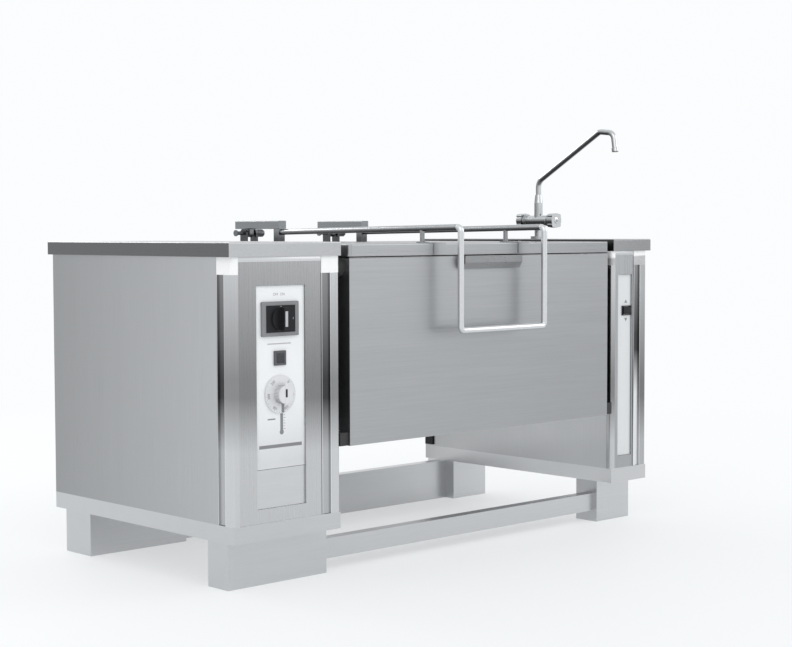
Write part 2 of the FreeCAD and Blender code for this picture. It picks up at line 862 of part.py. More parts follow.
def build_switch():
    front = f"({PLATE_FRONT} - switch_deep)"
    plate = new_body("switch_plate")
    pad(plate, "Y", front, PLATE_FRONT, rectangle(
        ("plate_middle - switch_width / 2", "switch_height - switch_tall / 2"),
        ("plate_middle + switch_width / 2", "switch_height + switch_tall / 2")))
    round_edges(plate, "top_round", lambda edge: along(edge, "Y"))
    opening = (("plate_middle", "switch_height"), "knob_shaft + shaft_clearance")
    pocket(plate, "Y", front, PLATE_FRONT, circles=[opening])
    keep(plate, "switch_plate")
    collar = rod("Y", f"{front} - fit - knob_collar", f"{front} - fit",
                 ("plate_middle", "switch_height"), "knob_radius")
    grip = block(("plate_middle - grip_width / 2", f"{front} - fit - knob_collar - grip_reach",
                  "switch_height - knob_radius + 2"),
                 ("plate_middle + grip_width / 2", f"{front} - fit - knob_collar",
                  "switch_height + knob_radius - 2"))
    shaft = rod("Y", f"{front} - fit", f"{PLATE_BACK} + shaft_reach",
                ("plate_middle", "switch_height"), "knob_shaft")
    keep(fuse(collar, grip, shaft), "switch_knob")


def build_lamp():
    front = f"({PLATE_FRONT} - lamp_deep)"
    bezel = new_body("lamp_bezel")
    side = rectangle(("plate_middle - lamp_side / 2", "lamp_height - lamp_side / 2"),
                     ("plate_middle + lamp_side / 2", "lamp_height + lamp_side / 2"))
    pad(bezel, "Y", front, PLATE_FRONT, side)
    opening = rectangle(("plate_middle - lens_side / 2", "lamp_height - lens_side / 2"),
                        ("plate_middle + lens_side / 2", "lamp_height + lens_side / 2"))
    pocket(bezel, "Y", front, f"{front} + lamp_deep / 2", [opening])
    stub = rod("Y", PLATE_FRONT, f"{PLATE_BACK} + lamp_stub_deep", ("plate_middle", "lamp_height"),
               "lamp_stub")
    keep(fuse(bezel, stub), "indicator_lamp")


def build_dial():
    back = f"({PLATE_FRONT} - fit)"
    skirt = rod("Y", f"{back} - dial_skirt", back, ("plate_middle", "dial_height"), "dial_radius")
    hub = rod("Y", f"{back} - dial_skirt - dial_reach", f"{back} - dial_skirt",
              ("plate_middle", "dial_height"), "dial_hub")
    ridge = block(("plate_middle - ridge_width / 2", f"{back} - dial_skirt - dial_reach - ridge_rise",
                   "dial_height - dial_hub"),
                  ("plate_middle + ridge_width / 2", f"{back} - dial_skirt",
                   "dial_height + dial_hub + ridge_over"))
    shaft = rod("Y", back, f"{PLATE_BACK} + shaft_reach", ("plate_middle", "dial_height"), "knob_shaft")
    keep(fuse(skirt, hub, ridge, shaft), "thermostat_dial")


def build_tilt_switch():
    strip = new_body("tilt_strip")
    left = f"{RIGHT_IN} + strip_left"
    centre = f"({RIGHT_IN} + strip_left + strip_width / 2 + rocker_in)"
    pad(strip, "Y", PLATE_FRONT, PLATE_BACK, rectangle(
        (left, "strip_bottom"), (f"{left} + strip_width", "recess_top")))
    hole = rectangle((f"{centre} - rocker_width / 2 - rocker_hole",
                      "rocker_height - rocker_tall / 2 - rocker_hole"),
                     (f"{centre} + rocker_width / 2 + rocker_hole",
                      "rocker_height + rocker_tall / 2 + rocker_hole"))
    pocket(strip, "Y", PLATE_FRONT, PLATE_BACK, [hole])
    keep(strip, "tilt_strip")
    frame_left = f"{centre} - rocker_width / 2 - rocker_frame"
    frame_right = f"{centre} + rocker_width / 2 + rocker_frame"
    frame = block((frame_left, f"{PLATE_FRONT} - rocker_deep",
                   "rocker_height - rocker_tall / 2 - rocker_frame"),
                  (frame_right, PLATE_FRONT, "rocker_height + rocker_tall / 2 + rocker_frame"))
    well = block((f"{centre} - rocker_width / 2 - rocker_side", f"{PLATE_FRONT} - rocker_deep - 1",
                  "rocker_height - rocker_tall / 2 - rocker_swing"),
                 (f"{centre} + rocker_width / 2 + rocker_side", f"{PLATE_FRONT} + 1",
                  "rocker_height + rocker_tall / 2 + rocker_swing"))
    pins = rod("X", frame_left, frame_right, (f"{PLATE_FRONT} - rocker_deep / 2", "rocker_height"),
               "rocker_pin + running")
    keep(cut(frame, well, pins), "rocker_frame")
    paddle = block((f"{centre} - rocker_width / 2", f"{PLATE_FRONT} - rocker_deep - rocker_proud",
                    "rocker_height - rocker_tall / 2"),
                   (f"{centre} + rocker_width / 2", f"{PLATE_FRONT} + rocker_behind",
                    "rocker_height + rocker_tall / 2"))
    pivot = rod("X", f"{frame_left} + 1", f"{frame_right} - 1",
                (f"{PLATE_FRONT} - rocker_deep / 2", "rocker_height"), "rocker_pin")
    keep(fuse(paddle, pivot), "tilt_rocker")


# Pan

def tub():
    """The open vessel: a rim flange, drawn walls with round corners and a pouring lip."""
    body = new_body("pan_vessel")
    outer_low = (f"{TUB_LEFT} - tub_wall", "tub_front - tub_wall")
    outer_high = (f"{TUB_RIGHT} + tub_wall", f"{TUB_BACK} + tub_wall")
    pad(body, "Z", "tub_floor - tub_wall", "pan_rim - tub_wall", rectangle(outer_low, outer_high))
    low = value("tub_floor - tub_wall")
    round_edges(body, "tub_round + tub_wall", lambda edge: along(edge, "Z"))
    round_edges(body, "floor_round + tub_wall", lambda edge: abs(edge.CenterOfMass.z - low) < 0.01)
    pad(body, "Z", "pan_rim - tub_wall", "pan_rim", rectangle((PAN_LEFT, "0"), (PAN_RIGHT, "pan_depth")))
    hollow = new_body("pan_hollow")
    pad(hollow, "Z", "tub_floor", "pan_rim + 1", rectangle((TUB_LEFT, "tub_front"), (TUB_RIGHT, TUB_BACK)))
    round_edges(hollow, "tub_round", lambda edge: along(edge, "Z"))
    floor = value("tub_floor")
    round_edges(hollow, "floor_round", lambda edge: abs(edge.CenterOfMass.z - floor) < 0.01)
    return cut(body, hollow)


def pouring_lip():
    """A trough from the tub's front wall over the front panel, with a drip nose."""
    def trough(grow, back, top):
        body = new_body("trough")
        nose = f"-spout_reach - {grow}"
        base = f"pan_rim - spout_drop - {grow}"
        pad(body, "X", f"{SPOUT_LEFT} - {grow}", f"{SPOUT_RIGHT} + {grow}", [
            (back, base), (back, top), (nose, top), (nose, f"pan_rim - spout_drop / 2 - {grow}"),
            (f"-spout_reach / 2 - {grow}", base)])
        return body
    return trough("spout_wall", "tub_front", "pan_rim"), trough("0", "tub_front + 1", "pan_rim + 1")


def build_pan():
    lip, channel = pouring_lip()
    keep(cut(fuse(tub(), lip), channel), "pan_vessel")
    build_pan_casing()
    build_heating()
    build_trunnions()
    rails = [block((f"{arm} - rail_half", "pan_depth", "rail_low"),
                   (f"{arm} + rail_half", "pan_depth + rail_depth", "rail_high")) for arm in ARMS]
    build_hinge_posts(rails)


def build_pan_casing():
    below = "(pan_rim - tub_wall)"
    front = new_body("pan_front_panel")
    outline = rectangle((PAN_LEFT, "pan_bottom"), (PAN_RIGHT, below))
    pad(front, "Y", "0", "fold", outline)
    pocket(front, "Y", "sheet", "fold", [rectangle(
        (f"{PAN_LEFT} + sheet", "pan_bottom + sheet"), (f"{PAN_RIGHT} - sheet", f"{below} - sheet"))])
    notch = rectangle((f"{SPOUT_LEFT} - spout_wall - fit", "pan_rim - spout_drop - spout_wall - fit"),
                      (f"{SPOUT_RIGHT} + spout_wall + fit", f"{below} + 1"))
    pocket(front, "Y", "0", "fold", [notch])
    keep(front, "pan_front_panel")
    sides = []
    for low, high in ((PAN_LEFT, f"{PAN_LEFT} + sheet"), (f"{PAN_RIGHT} - sheet", PAN_RIGHT)):
        side = new_body("pan_side")
        pad(side, "X", low, high, rectangle(("fold", "pan_bottom + fold"), ("pan_depth - fold", below)))
        pocket(side, "X", low, high, circles=[(("tilt_y", "tilt_height"), "trunnion_radius + fit")])
        sides.append(side)
    keep(group(*sides), "pan_side_panels")
    rear = new_body("pan_rear_panel")
    pad(rear, "Y", "pan_depth - fold", "pan_depth", outline)
    pocket(rear, "Y", "pan_depth - fold", "pan_depth - sheet", [rectangle(
        (f"{PAN_LEFT} + sheet", "pan_bottom + sheet"), (f"{PAN_RIGHT} - sheet", f"{below} - sheet"))])
    keep(rear, "pan_rear_panel")
    bottom = new_body("pan_bottom_panel")
    pad(bottom, "Z", "pan_bottom", "pan_bottom + fold", rectangle(
        (PAN_LEFT, "fold"), (PAN_RIGHT, "pan_depth - fold")))
    pocket(bottom, "Z", "pan_bottom + sheet", "pan_bottom + fold", [rectangle(
        (f"{PAN_LEFT} + sheet", "fold + sheet"), (f"{PAN_RIGHT} - sheet", "pan_depth - fold - sheet"))])
    keep(bottom, "pan_bottom_panel")


def build_heating():
    top = "(tub_floor - tub_wall)"
    plate = new_body("heating_plate")
    pad(plate, "Z", f"{top} - heating_plate", top, rectangle(
        (f"{TUB_LEFT} + floor_round", "tub_front + floor_round"),
        (f"{TUB_RIGHT} - floor_round", f"{TUB_BACK} - floor_round")))
    keep(plate, "heating_plate")
    height = f"{top} - heating_plate - element_radius"
    left = f"{TUB_LEFT} + floor_round + element_set"
    right = f"{TUB_RIGHT} - floor_round - element_set"
    loops = []
    for number in range(int(value("element_legs")) // 2):
        start = f"tub_front + element_set + 2 * {number} * element_pitch"
        points = [(left, start, height), (right, start, height),
                  (right, f"{start} + element_pitch", height), (left, f"{start} + element_pitch", height)]
        loops.append(shaped(square_bar(points, ["element_pitch / 2 - 1"] * 2, "element_radius")))
    keep(group(*loops), "heating_elements")


def build_trunnions():
    shafts = []
    bushes = []
    centre = ("tilt_y", "tilt_height")
    right_end = f"{RIGHT_IN} + post_inset + post + bearing_plate + bearing_length + shaft_out"
    gearbox_left = "(gearbox_right - gearbox_width - shaft_out)"
    shafts.append(fuse(
        rod("X", gearbox_left, f"{TUB_LEFT} - tub_wall", centre, "trunnion_radius"),
        block((f"{PAN_LEFT} + sheet", "tilt_y - boss_front", "tilt_height - boss_drop"),
              (f"{TUB_LEFT} - tub_wall", "tilt_y + boss_back", "pan_rim - tub_wall"))))
    shafts.append(fuse(
        rod("X", f"{TUB_RIGHT} + tub_wall", right_end, centre, "trunnion_radius"),
        block((f"{TUB_RIGHT} + tub_wall", "tilt_y - boss_front", "tilt_height - boss_drop"),
              (f"{PAN_RIGHT} - sheet", "tilt_y + boss_back", "pan_rim - tub_wall"))))
    keep(group(*shafts), "trunnions")
    for low, high in ((f"{PAN_LEFT} - bush_thickness", PAN_LEFT),
                      (PAN_RIGHT, f"{PAN_RIGHT} + bush_thickness")):
        bushes.append(cut(rod("X", low, high, centre, "bush_radius"),
                          rod("X", f"{low} - 1", f"{high} + 1", centre, "trunnion_radius")))
    keep(group(*bushes), "trunnion_bushes")
    low = "(pan_bottom + 1)"
    buffers = [
        block(("left_width", "front_set", low), (f"{PAN_LEFT} - fit", "front_set + buffer_width",
                                                 f"{low} + buffer_height")),
        block((f"{PAN_RIGHT} + fit", "front_set", low), (RIGHT_IN, "front_set + buffer_width",
                                                         f"{low} + buffer_height")),
    ]
    keep(group(*buffers), "side_buffers")


def build_hinge_posts(rails):
    pieces = list(rails)
    for arm in ARMS:
        for side in (-1, 1):
            near = f"{arm} + {side} * (bar_width / 2 + ear_gap)"
            far = f"{arm} + {side} * (bar_width / 2 + ear_gap + ear_thickness)"
            low_x, high_x = (far, near) if side < 0 else (near, far)
            ear = new_body("hinge_ear")
            pad(ear, "X", low_x, high_x, [
                ("pan_depth + rail_depth", "rail_low"), ("hinge_y + ear_round", "rail_high - ear_chamfer"),
                ("hinge_y + ear_round", "hinge_height + ear_round - 1"),
                ("hinge_y - ear_round", "hinge_height + ear_round - 1"),
                ("hinge_y - ear_round", "rail_high + ear_step"), ("pan_depth + ear_step", "rail_high"),
                ("pan_depth + ear_step", "rail_low")])
            top = value("hinge_height + ear_round - 1")
            round_edges(ear, "ear_round - 1.5",
                        lambda edge: along(edge, "X") and abs(edge.CenterOfMass.z - top) < 0.01)
            pieces.append(ear)
    joined = fuse(*pieces)
    bores = [rod("X", f"{arm} - rail_half", f"{arm} + rail_half", ("hinge_y", "hinge_height"), "pin_radius")
             for arm in ARMS]
    keep(cut(joined, *bores), "hinge_rail")
    pins = []
    springs = []
    for arm in ARMS:
        pins.append(fuse(
            rod("X", f"{arm} - pin_out", f"{arm} + pin_out", ("hinge_y", "hinge_height"), "pin_radius"),
            rod("X", f"{arm} + pin_out - pin_head", f"{arm} + pin_out", ("hinge_y", "hinge_height"),
                "pin_radius + pin_head"),
            rod("X", f"{arm} - pin_out", f"{arm} - pin_out + pin_head", ("hinge_y", "hinge_height"),
                "pin_radius + pin_head")))
        springs.append(torsion_spring(arm))
    keep(group(*pins), "hinge_pins")
    keep(group(*springs), "hinge_springs")


def torsion_spring(arm):
    """A coil of square wire round the pin, just outside the ear."""
    start = value(f"{arm} + bar_width / 2 + ear_gap + ear_thickness + spring_wire / 2 + fit")
    height = value("spring_pitch * spring_turns")
    coil = Part.makeHelix(value("spring_pitch"), height, value("spring_coil"))
    inner = value("spring_coil - spring_wire / 2")
    outer = value("spring_coil + spring_wire / 2")
    half = value("spring_wire / 2")
    wire = Part.makePolygon([Vector(inner, 0, -half), Vector(outer, 0, -half), Vector(outer, 0, half),
                             Vector(inner, 0, half), Vector(inner, 0, -half)])
    solid = Part.Wire(coil.Edges).makePipeShell([wire], True, True)
    solid.Placement = Placement(Vector(start, value("hinge_y"), value("hinge_height")),
                                Rotation(Vector(0, 1, 0), 90))
    return shaped(solid)


# Lid

def build_lid():
    shell = new_body("lid_shell")
    low = (LID_LEFT, "-lid_front")
    high = (LID_RIGHT, "lid_rear")
    pad(shell, "Z", LID_BOTTOM, LID_TOP, rectangle(low, high))
    round_edges(shell, "lid_round", lambda edge: along(edge, "Z"))
    top = value(LID_TOP)
    round_edges(shell, "top_round", lambda edge: abs(edge.CenterOfMass.z - top) < 0.01)
    pocket(shell, "Z", LID_BOTTOM, f"{LID_TOP} - sheet", [rectangle(
        (f"{LID_LEFT} + 2 * sheet", "-lid_front + 2 * sheet"),
        (f"{LID_RIGHT} - 2 * sheet", "lid_rear - 2 * sheet"))])
    keep(shell, "lid_shell")
    liner = new_body("lid_liner")
    inset = "liner_inset"
    pad(liner, "Z", f"{LID_TOP} - sheet - liner_depth", f"{LID_TOP} - sheet", rectangle(
        (f"{LID_LEFT} + {inset}", inset), (f"{LID_RIGHT} - {inset}", f"pan_depth - {inset}")))
    round_edges(liner, "liner_round", lambda edge: along(edge, "Z"))
    pocket(liner, "Z", f"{LID_TOP} - liner_depth", f"{LID_TOP} - sheet", [rectangle(
        (f"{LID_LEFT} + {inset} + sheet", f"{inset} + sheet"),
        (f"{LID_RIGHT} - {inset} - sheet", f"pan_depth - {inset} - sheet"))])
    keep(liner, "lid_liner")
    build_lid_arms()
    build_hinge_bars()


def build_lid_arms():
    arms = [shaped(bent_bar([(arm, FOOT_FRONT, "arm_rear_height"), (arm, ARM_FRONT, "arm_front_height")],
                            [], "arm_radius")) for arm in ARMS]
    keep(group(*arms), "lid_arms")
    left, right = ARMS
    level = "arm_front_height"
    path = [(left, ARM_FRONT, level), (left, "-handle_out", level),
            (left, "-handle_out", "handle_bottom"), (right, "-handle_out", "handle_bottom"),
            (right, "-handle_out", level), (right, ARM_FRONT, level)]
    bends = ["handle_bend - 0.5", "grip_bend", "grip_bend", "handle_bend - 0.5"]
    keep(shaped(bent_bar(path, bends, "arm_radius")), "lid_handle")
    posts = []
    brackets = []
    for arm in ARMS:
        post = fuse(
            rod("Z", LID_TOP, f"{ARM_AT_SUPPORT} - arm_radius / 2", (arm, "support_y"), "support_radius"),
            rod("Z", LID_TOP, f"{LID_TOP} + support_flange", (arm, "support_y"), "support_base"))
        posts.append(cut(post, rod("Y", "support_y - support_base", "support_y + support_base",
                                   (arm, ARM_AT_SUPPORT), "arm_radius")))
        left_edge = f"{arm} - bracket_left"
        right_edge = f"{left_edge} + bracket_width"
        brackets.append(fuse(
            block((left_edge, "-lid_front - bracket_sheet", f"{LID_BOTTOM} + 2"),
                  (right_edge, "-lid_front", f"{LID_TOP} + bracket_sheet")),
            block((left_edge, "-lid_front", LID_TOP),
                  (right_edge, "bracket_return", f"{LID_TOP} + bracket_sheet"))))
    keep(group(*posts), "arm_posts")
    keep(group(*brackets), "lid_brackets")


def build_hinge_bars():
    bars = []
    for arm in ARMS:
        bar = new_body("hinge_bar")
        pad(bar, "Y", "bar_front", "bar_rear", rectangle(
            (f"{arm} - bar_width / 2", "bar_low"), (f"{arm} + bar_width / 2", "bar_high")))
        round_edges(bar, "top_round", lambda edge: along(edge, "Y"))
        foot = block((f"{arm} - bar_foot_width / 2", "bar_foot - bar_foot_length / 2", LID_TOP),
                     (f"{arm} + bar_foot_width / 2", "bar_foot + bar_foot_length / 2", "bar_low"))
        lug = fuse(
            block((f"{arm} - lug_width / 2", "hinge_y - lug_length / 2", "hinge_height"),
                  (f"{arm} + lug_width / 2", "hinge_y + lug_length / 2", "bar_low")),
            rod("X", f"{arm} - lug_width / 2", f"{arm} + lug_width / 2",
                ("hinge_y", "hinge_height"), "lug_length / 2"))
        bore = rod("X", f"{arm} - bar_width", f"{arm} + bar_width", ("hinge_y", "hinge_height"),
                   "pin_radius + running")
        bars.append(cut(fuse(bar, foot, lug), bore))
    keep(group(*bars), "hinge_bars")


# Tilt drive

def build_drive():
    centre = ("tilt_y", "tilt_height")
    bearings = []
    left_start = f"{LEFT_IN} - post_inset - post - bearing_plate - bearing_length"
    right_start = f"{RIGHT_IN} + post_inset + post + bearing_plate"
    for start in (left_start, right_start):
        bearings.append(cut(
            rod("X", start, f"{start} + bearing_length", centre, "bearing_radius"),
            rod("X", f"{start} - 1", f"{start} + bearing_length + 1", centre, "trunnion_radius + running")))
    keep(group(*bearings), "trunnion_bearings")
    left = "(gearbox_right - gearbox_width)"
    housing = block((left, "tilt_y - gearbox_front", "tilt_height - gearbox_drop"),
                    ("gearbox_right", "tilt_y - gearbox_front + gearbox_depth",
                     "tilt_height - gearbox_drop + gearbox_height"))
    worm = rod("Y", "tilt_y - gearbox_front", "tilt_y - gearbox_front + gearbox_depth",
               ("gearbox_right - gearbox_width / 2", "tilt_height - worm_drop"), "worm_housing")
    bore = rod("X", f"{left} - 1", "gearbox_right + 1", centre, "trunnion_radius + running")
    keep(cut(fuse(housing, worm), bore), "tilt_gearbox")
    back = "(tilt_y - gearbox_front + gearbox_depth)"
    spot = ("gearbox_right - gearbox_width / 2", "tilt_height - worm_drop")
    cowl = f"{back} + motor_length - motor_cowl"
    motor = fuse(rod("Y", back, f"{back} + motor_flange", spot, "motor_radius"),
                 rod("Y", f"{back} + motor_flange", cowl, spot, "motor_radius - motor_step"),
                 rod("Y", cowl, f"{back} + motor_length", spot, "motor_radius"))
    keep(motor, "tilt_motor")


# Mixer tap

def build_tap():
    spot = (TAP_X, "tap_y")
    level = (TAP_X, "mixer_height")
    front = "(tap_y - mixer_length / 2)"
    rear = "(tap_y + mixer_length / 2)"
    base = fuse(
        rod("Z", "worktop_height - shank_drop", "worktop_height", spot, "shank_radius"),
        rod("Z", "worktop_height", "worktop_height + tap_flange_height", spot, "tap_flange"),
        rod("Z", "worktop_height + tap_flange_height", "mixer_height", spot, "tap_neck"),
        rod("Y", front, rear, level, "mixer_radius"),
        rod("Z", "mixer_height", "neck_top", spot, "mixer_neck"))
    sockets = [rod("Y", f"{front} - 1", f"{front} + hub_depth + fit", level, "hub_radius + running"),
               rod("Y", f"{rear} - hub_depth - fit", f"{rear} + 1", level, "hub_radius + running"),
               rod("Z", "neck_top - spout_socket", "neck_top + 1", spot, "spout_pipe + running")]
    keep(cut(base, *sockets), "tap_body")
    build_spout(spot)
    tap_handle("hot_handle", f"{front} - hub_gap", -1, level, front)
    tap_handle("cold_handle", f"{rear} + hub_gap", 1, level, rear)
    pipes = []
    for inlet, side in (("cold_inlet", -1), ("hot_inlet", 1)):
        y_end = f"tap_y + {side} * pipe_split"
        path = [(TAP_X, "machine_depth", inlet), (TAP_X, y_end, inlet),
                (TAP_X, y_end, "worktop_height - shank_drop")]
        run = shaped(bent_bar(path, ["pipe_bend"], "pipe_radius"))
        stub = rod("Y", BODY_REAR, f"{BODY_REAR} + inlet_out", (TAP_X, inlet), "inlet_radius")
        pipes.append(fuse(run, stub))
    keep(group(*pipes), "water_pipes")


def build_spout(spot):
    x = TAP_X
    pipe = shaped(bent_bar([
        (x, "tap_y", "neck_top - spout_entry"), (x, "tap_y", "spout_rise"),
        (x, "tap_y - spout_run", "spout_peak"), (x, "tap_y - spout_tip", "spout_peak - 6"),
        (x, "tap_y - spout_tip - 8", "spout_end")],
        ["spout_bend", "hook_bend", "hook_bend"], "spout_pipe"))
    nut = cone("neck_top + hub_gap", "neck_top + hub_gap + spout_nut_height", spot,
               "spout_nut", "spout_pipe + 2")
    keep(fuse(pipe, nut), "tap_spout")


def tap_handle(name, face, side, level, seat):
    """A lobed hand wheel on a hub that turns in the mixer body."""
    end = f"{face} + {side} * handle_length"
    low, high = (end, face) if side < 0 else (face, end)
    inner = f"{seat} - {side} * hub_depth"
    hub_low, hub_high = (face, inner) if side < 0 else (inner, face)
    grips = [rod("Y", low, high, level, "handle_radius - handle_lobe / 2")]
    for number in range(4):
        angle = math.radians(45 + 90 * number)
        reach = "(handle_radius - handle_lobe)"
        centre = (f"{TAP_X} + {math.cos(angle):.4f} * {reach}",
                  f"mixer_height + {math.sin(angle):.4f} * {reach}")
        grips.append(rod("Y", low, high, centre, "handle_lobe"))
    keep(fuse(*grips, rod("Y", hub_low, hub_high, level, "hub_radius")), name)


# Services

def build_services():
    face = BODY_REAR
    gland = fuse(
        rod("Y", f"{face} - gland_behind", face, ("gland_x", "gland_height"), "gland_bore + 3"),
        rod("Y", face, f"{face} + gland_out / 2", ("gland_x", "gland_height"), "gland_radius"),
        rod("Y", f"{face} + gland_out / 2", f"{face} + gland_out", ("gland_x", "gland_height"),
            "gland_radius - gland_step"))
    bore = rod("Y", f"{face} - gland_behind - 1", f"{face} + gland_out + 1",
               ("gland_x", "gland_height"), "gland_bore")
    keep(cut(gland, bore), "cable_gland")
    low = "(body_bottom + tray_depth + plug_lift)"
    plug = new_body("frame_plug")
    pad(plug, "X", f"{RIGHT_IN} - plug_out", RIGHT_IN, rectangle(
        (f"{BODY_REAR} - plug_rear - plug_side", low), (f"{BODY_REAR} - plug_rear", f"{low} + plug_side")))
    keep(plug, "frame_plug")


def check_and_write():
    doc.recompute()
    for item in doc.Objects:
        if "Invalid" in item.State or "Error" in item.State:
            raise ValueError(f"{item.Name} ({item.Label}) did not build: {item.State}")
    for name, item in nodes.items():
        if item.Shape.isNull() or not item.Shape.isValid() or not item.Shape.Solids:
            raise ValueError(name + " has no valid solid")
    os.makedirs("parts", exist_ok=True)
    for name, item in nodes.items():
        item.Shape.exportStep(os.path.join("parts", name + ".step"))
    print(len(nodes), "sub-parts written")


fill_sheet()
build_pillars()
build_base()
build_controls()
build_tilt_switch()
build_pan()
build_lid()
build_drive()
build_tap()
build_services()
check_and_write()
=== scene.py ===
import math
import random

import bmesh
import bpy
from mathutils import Matrix, Vector


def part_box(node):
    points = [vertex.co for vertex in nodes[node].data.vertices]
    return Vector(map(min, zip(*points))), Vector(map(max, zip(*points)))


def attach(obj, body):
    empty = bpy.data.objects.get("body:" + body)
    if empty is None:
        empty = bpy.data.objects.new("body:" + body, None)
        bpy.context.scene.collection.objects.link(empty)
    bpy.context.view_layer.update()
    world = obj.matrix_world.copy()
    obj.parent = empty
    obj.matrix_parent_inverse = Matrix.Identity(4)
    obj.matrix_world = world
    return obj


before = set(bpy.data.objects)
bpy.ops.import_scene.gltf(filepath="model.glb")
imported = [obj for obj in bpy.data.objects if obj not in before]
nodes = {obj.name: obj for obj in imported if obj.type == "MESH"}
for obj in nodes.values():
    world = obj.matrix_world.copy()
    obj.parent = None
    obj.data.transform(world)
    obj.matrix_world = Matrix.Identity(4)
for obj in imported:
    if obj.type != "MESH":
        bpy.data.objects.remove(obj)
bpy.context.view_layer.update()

scene = bpy.context.scene


# node tree helpers: an input takes either a value or the socket that drives it

def feed(tree, node, values):
    for name, value in values.items():
        if isinstance(value, bpy.types.NodeSocket):
            tree.links.new(value, node.inputs[name])
        else:
            node.inputs[name].default_value = value


def addNode(tree, kind, values=None, **settings):
    made = tree.nodes.new(kind)
    for name, value in settings.items():
        setattr(made, name, value)
    feed(tree, made, values or {})
    return made


def mixColours(tree, amount, first, second):
    return addNode(tree, "ShaderNodeMix", {0: amount, 6: first, 7: second}, data_type="RGBA").outputs[2]


def spreadValue(tree, source, low, high, fromLow=0.0, fromHigh=1.0):
    spread = addNode(tree, "ShaderNodeMapRange", {"Value": source, "From Min": fromLow, "From Max": fromHigh,
                                                  "To Min": low, "To Max": high})
    return spread.outputs["Result"]


def workOut(tree, operation, first, second):
    return addNode(tree, "ShaderNodeMath", {0: first, 1: second}, operation=operation).outputs[0]


def dotOf(tree, first, second):
    product = addNode(tree, "ShaderNodeVectorMath", {0: first, 1: second}, operation="DOT_PRODUCT")
    return product.outputs["Value"]


def splitOf(tree, vector):
    return addNode(tree, "ShaderNodeSeparateXYZ", {0: vector}).outputs


def objectSpot(tree):
    return addNode(tree, "ShaderNodeTexCoord").outputs["Object"]


def surfaceNormal(tree):
    return addNode(tree, "ShaderNodeNewGeometry").outputs["Normal"]


def addNoise(tree, spot, scale, detail, roughness, **more):
    values = {"Vector": spot, "Scale": scale, "Detail": detail, "Roughness": roughness, **more}
    return addNode(tree, "ShaderNodeTexNoise", values).outputs["Fac"]


def rgba(colour):
    return (*colour, 1.0)


# effects that several finishes share

def newGroup(name, inputs, outputs):
    group = bpy.data.node_groups.new(name, "ShaderNodeTree")
    for label, value in inputs.items():
        kind = "NodeSocketVector" if isinstance(value, tuple) else "NodeSocketFloat"
        socket = group.interface.new_socket(name=label, in_out="INPUT", socket_type=kind)
        socket.default_value = value
    for label in outputs:
        group.interface.new_socket(name=label, in_out="OUTPUT", socket_type="NodeSocketFloat")
    return group, addNode(group, "NodeGroupInput"), addNode(group, "NodeGroupOutput")


def buildSheetGrain():
    group, given, made = newGroup("sheetGrain", {"Stretch": (600.0, 600.0, 5.0), "Banding": 0.5},
                                  ("Grain", "Bands"))
    fine = addNode(group, "ShaderNodeVectorMath", {0: objectSpot(group), 1: given.outputs["Stretch"]},
                   operation="MULTIPLY").outputs[0]
    coarse = addNode(group, "ShaderNodeVectorMath", {0: fine, "Scale": 0.035}, operation="SCALE").outputs[0]
    bands = addNoise(group, coarse, 1.0, 2.0, 0.5)  # broad bands left by the belt
    strength = workOut(group, "MULTIPLY", workOut(group, "SUBTRACT", bands, 0.5), given.outputs["Banding"])
    feed(group, made, {"Grain": addNoise(group, fine, 1.0, 4.0, 0.62),
                       "Bands": workOut(group, "ADD", strength, 0.5)})
    return group


# edge mask broken into patches: coated finishes show real rubbed edges with it, while the steels and platings
# brighten it as a painted highlight along their edges
def buildEdgeWearAndHighlight():
    group, given, made = newGroup("edgeWearAndHighlight", {"Width": 0.002, "Breakup": 90.0}, ("Mask",))
    rounded = addNode(group, "ShaderNodeBevel", {"Radius": given.outputs["Width"]}, samples=4)
    facing = dotOf(group, rounded.outputs["Normal"], surfaceNormal(group))
    edge = spreadValue(group, facing, 1.0, 0.0, 0.75, 0.99)
    wornAndHighlighted = addNoise(group, objectSpot(group), given.outputs["Breakup"], 3.0, 0.6)
    patches = spreadValue(group, wornAndHighlighted, 0.2, 1.0, 0.35, 0.65)
    feed(group, made, {"Mask": workOut(group, "MULTIPLY", edge, patches)})
    return group


def buildHandling():
    group, given, made = newGroup("handling", {"Size": 6.0, "Amount": 0.5}, ("Smudge", "Dust"))
    amount = given.outputs["Amount"]
    wiped = addNoise(group, objectSpot(group), given.outputs["Size"], 5.0, 0.55, Distortion=0.6)
    smudge = spreadValue(group, wiped, 0.0, 1.0, 0.4, 0.7)
    upward = spreadValue(group, splitOf(group, surfaceNormal(group))["Z"], 0.0, 1.0, 0.55, 1.0)
    settled = workOut(group, "MULTIPLY", upward, wiped)
    feed(group, made, {"Smudge": workOut(group, "MULTIPLY", smudge, amount),
                       "Dust": workOut(group, "MULTIPLY", settled, amount)})
    return group


def buildSpeckle():
    group, given, made = newGroup("speckle", {"Size": 700.0}, ("Grit", "Pits"))
    spot, size = objectSpot(group), given.outputs["Size"]
    pits = addNode(group, "ShaderNodeTexVoronoi", {"Vector": spot, "Scale": size})
    feed(group, made, {"Grit": addNoise(group, spot, size, 3.0, 0.7), "Pits": pits.outputs["Distance"]})
    return group


# painted reflection of the room's horizon on the steel, a dark band with lighter steel below and above it:
# heights in metres, and how far the dark band sinks for each metre to the right
horizonLook = {"lean": 0.066, "fadeFrom": 0.31, "darkFrom": 0.45, "darkTo": 0.50, "fadeTo": 0.86}


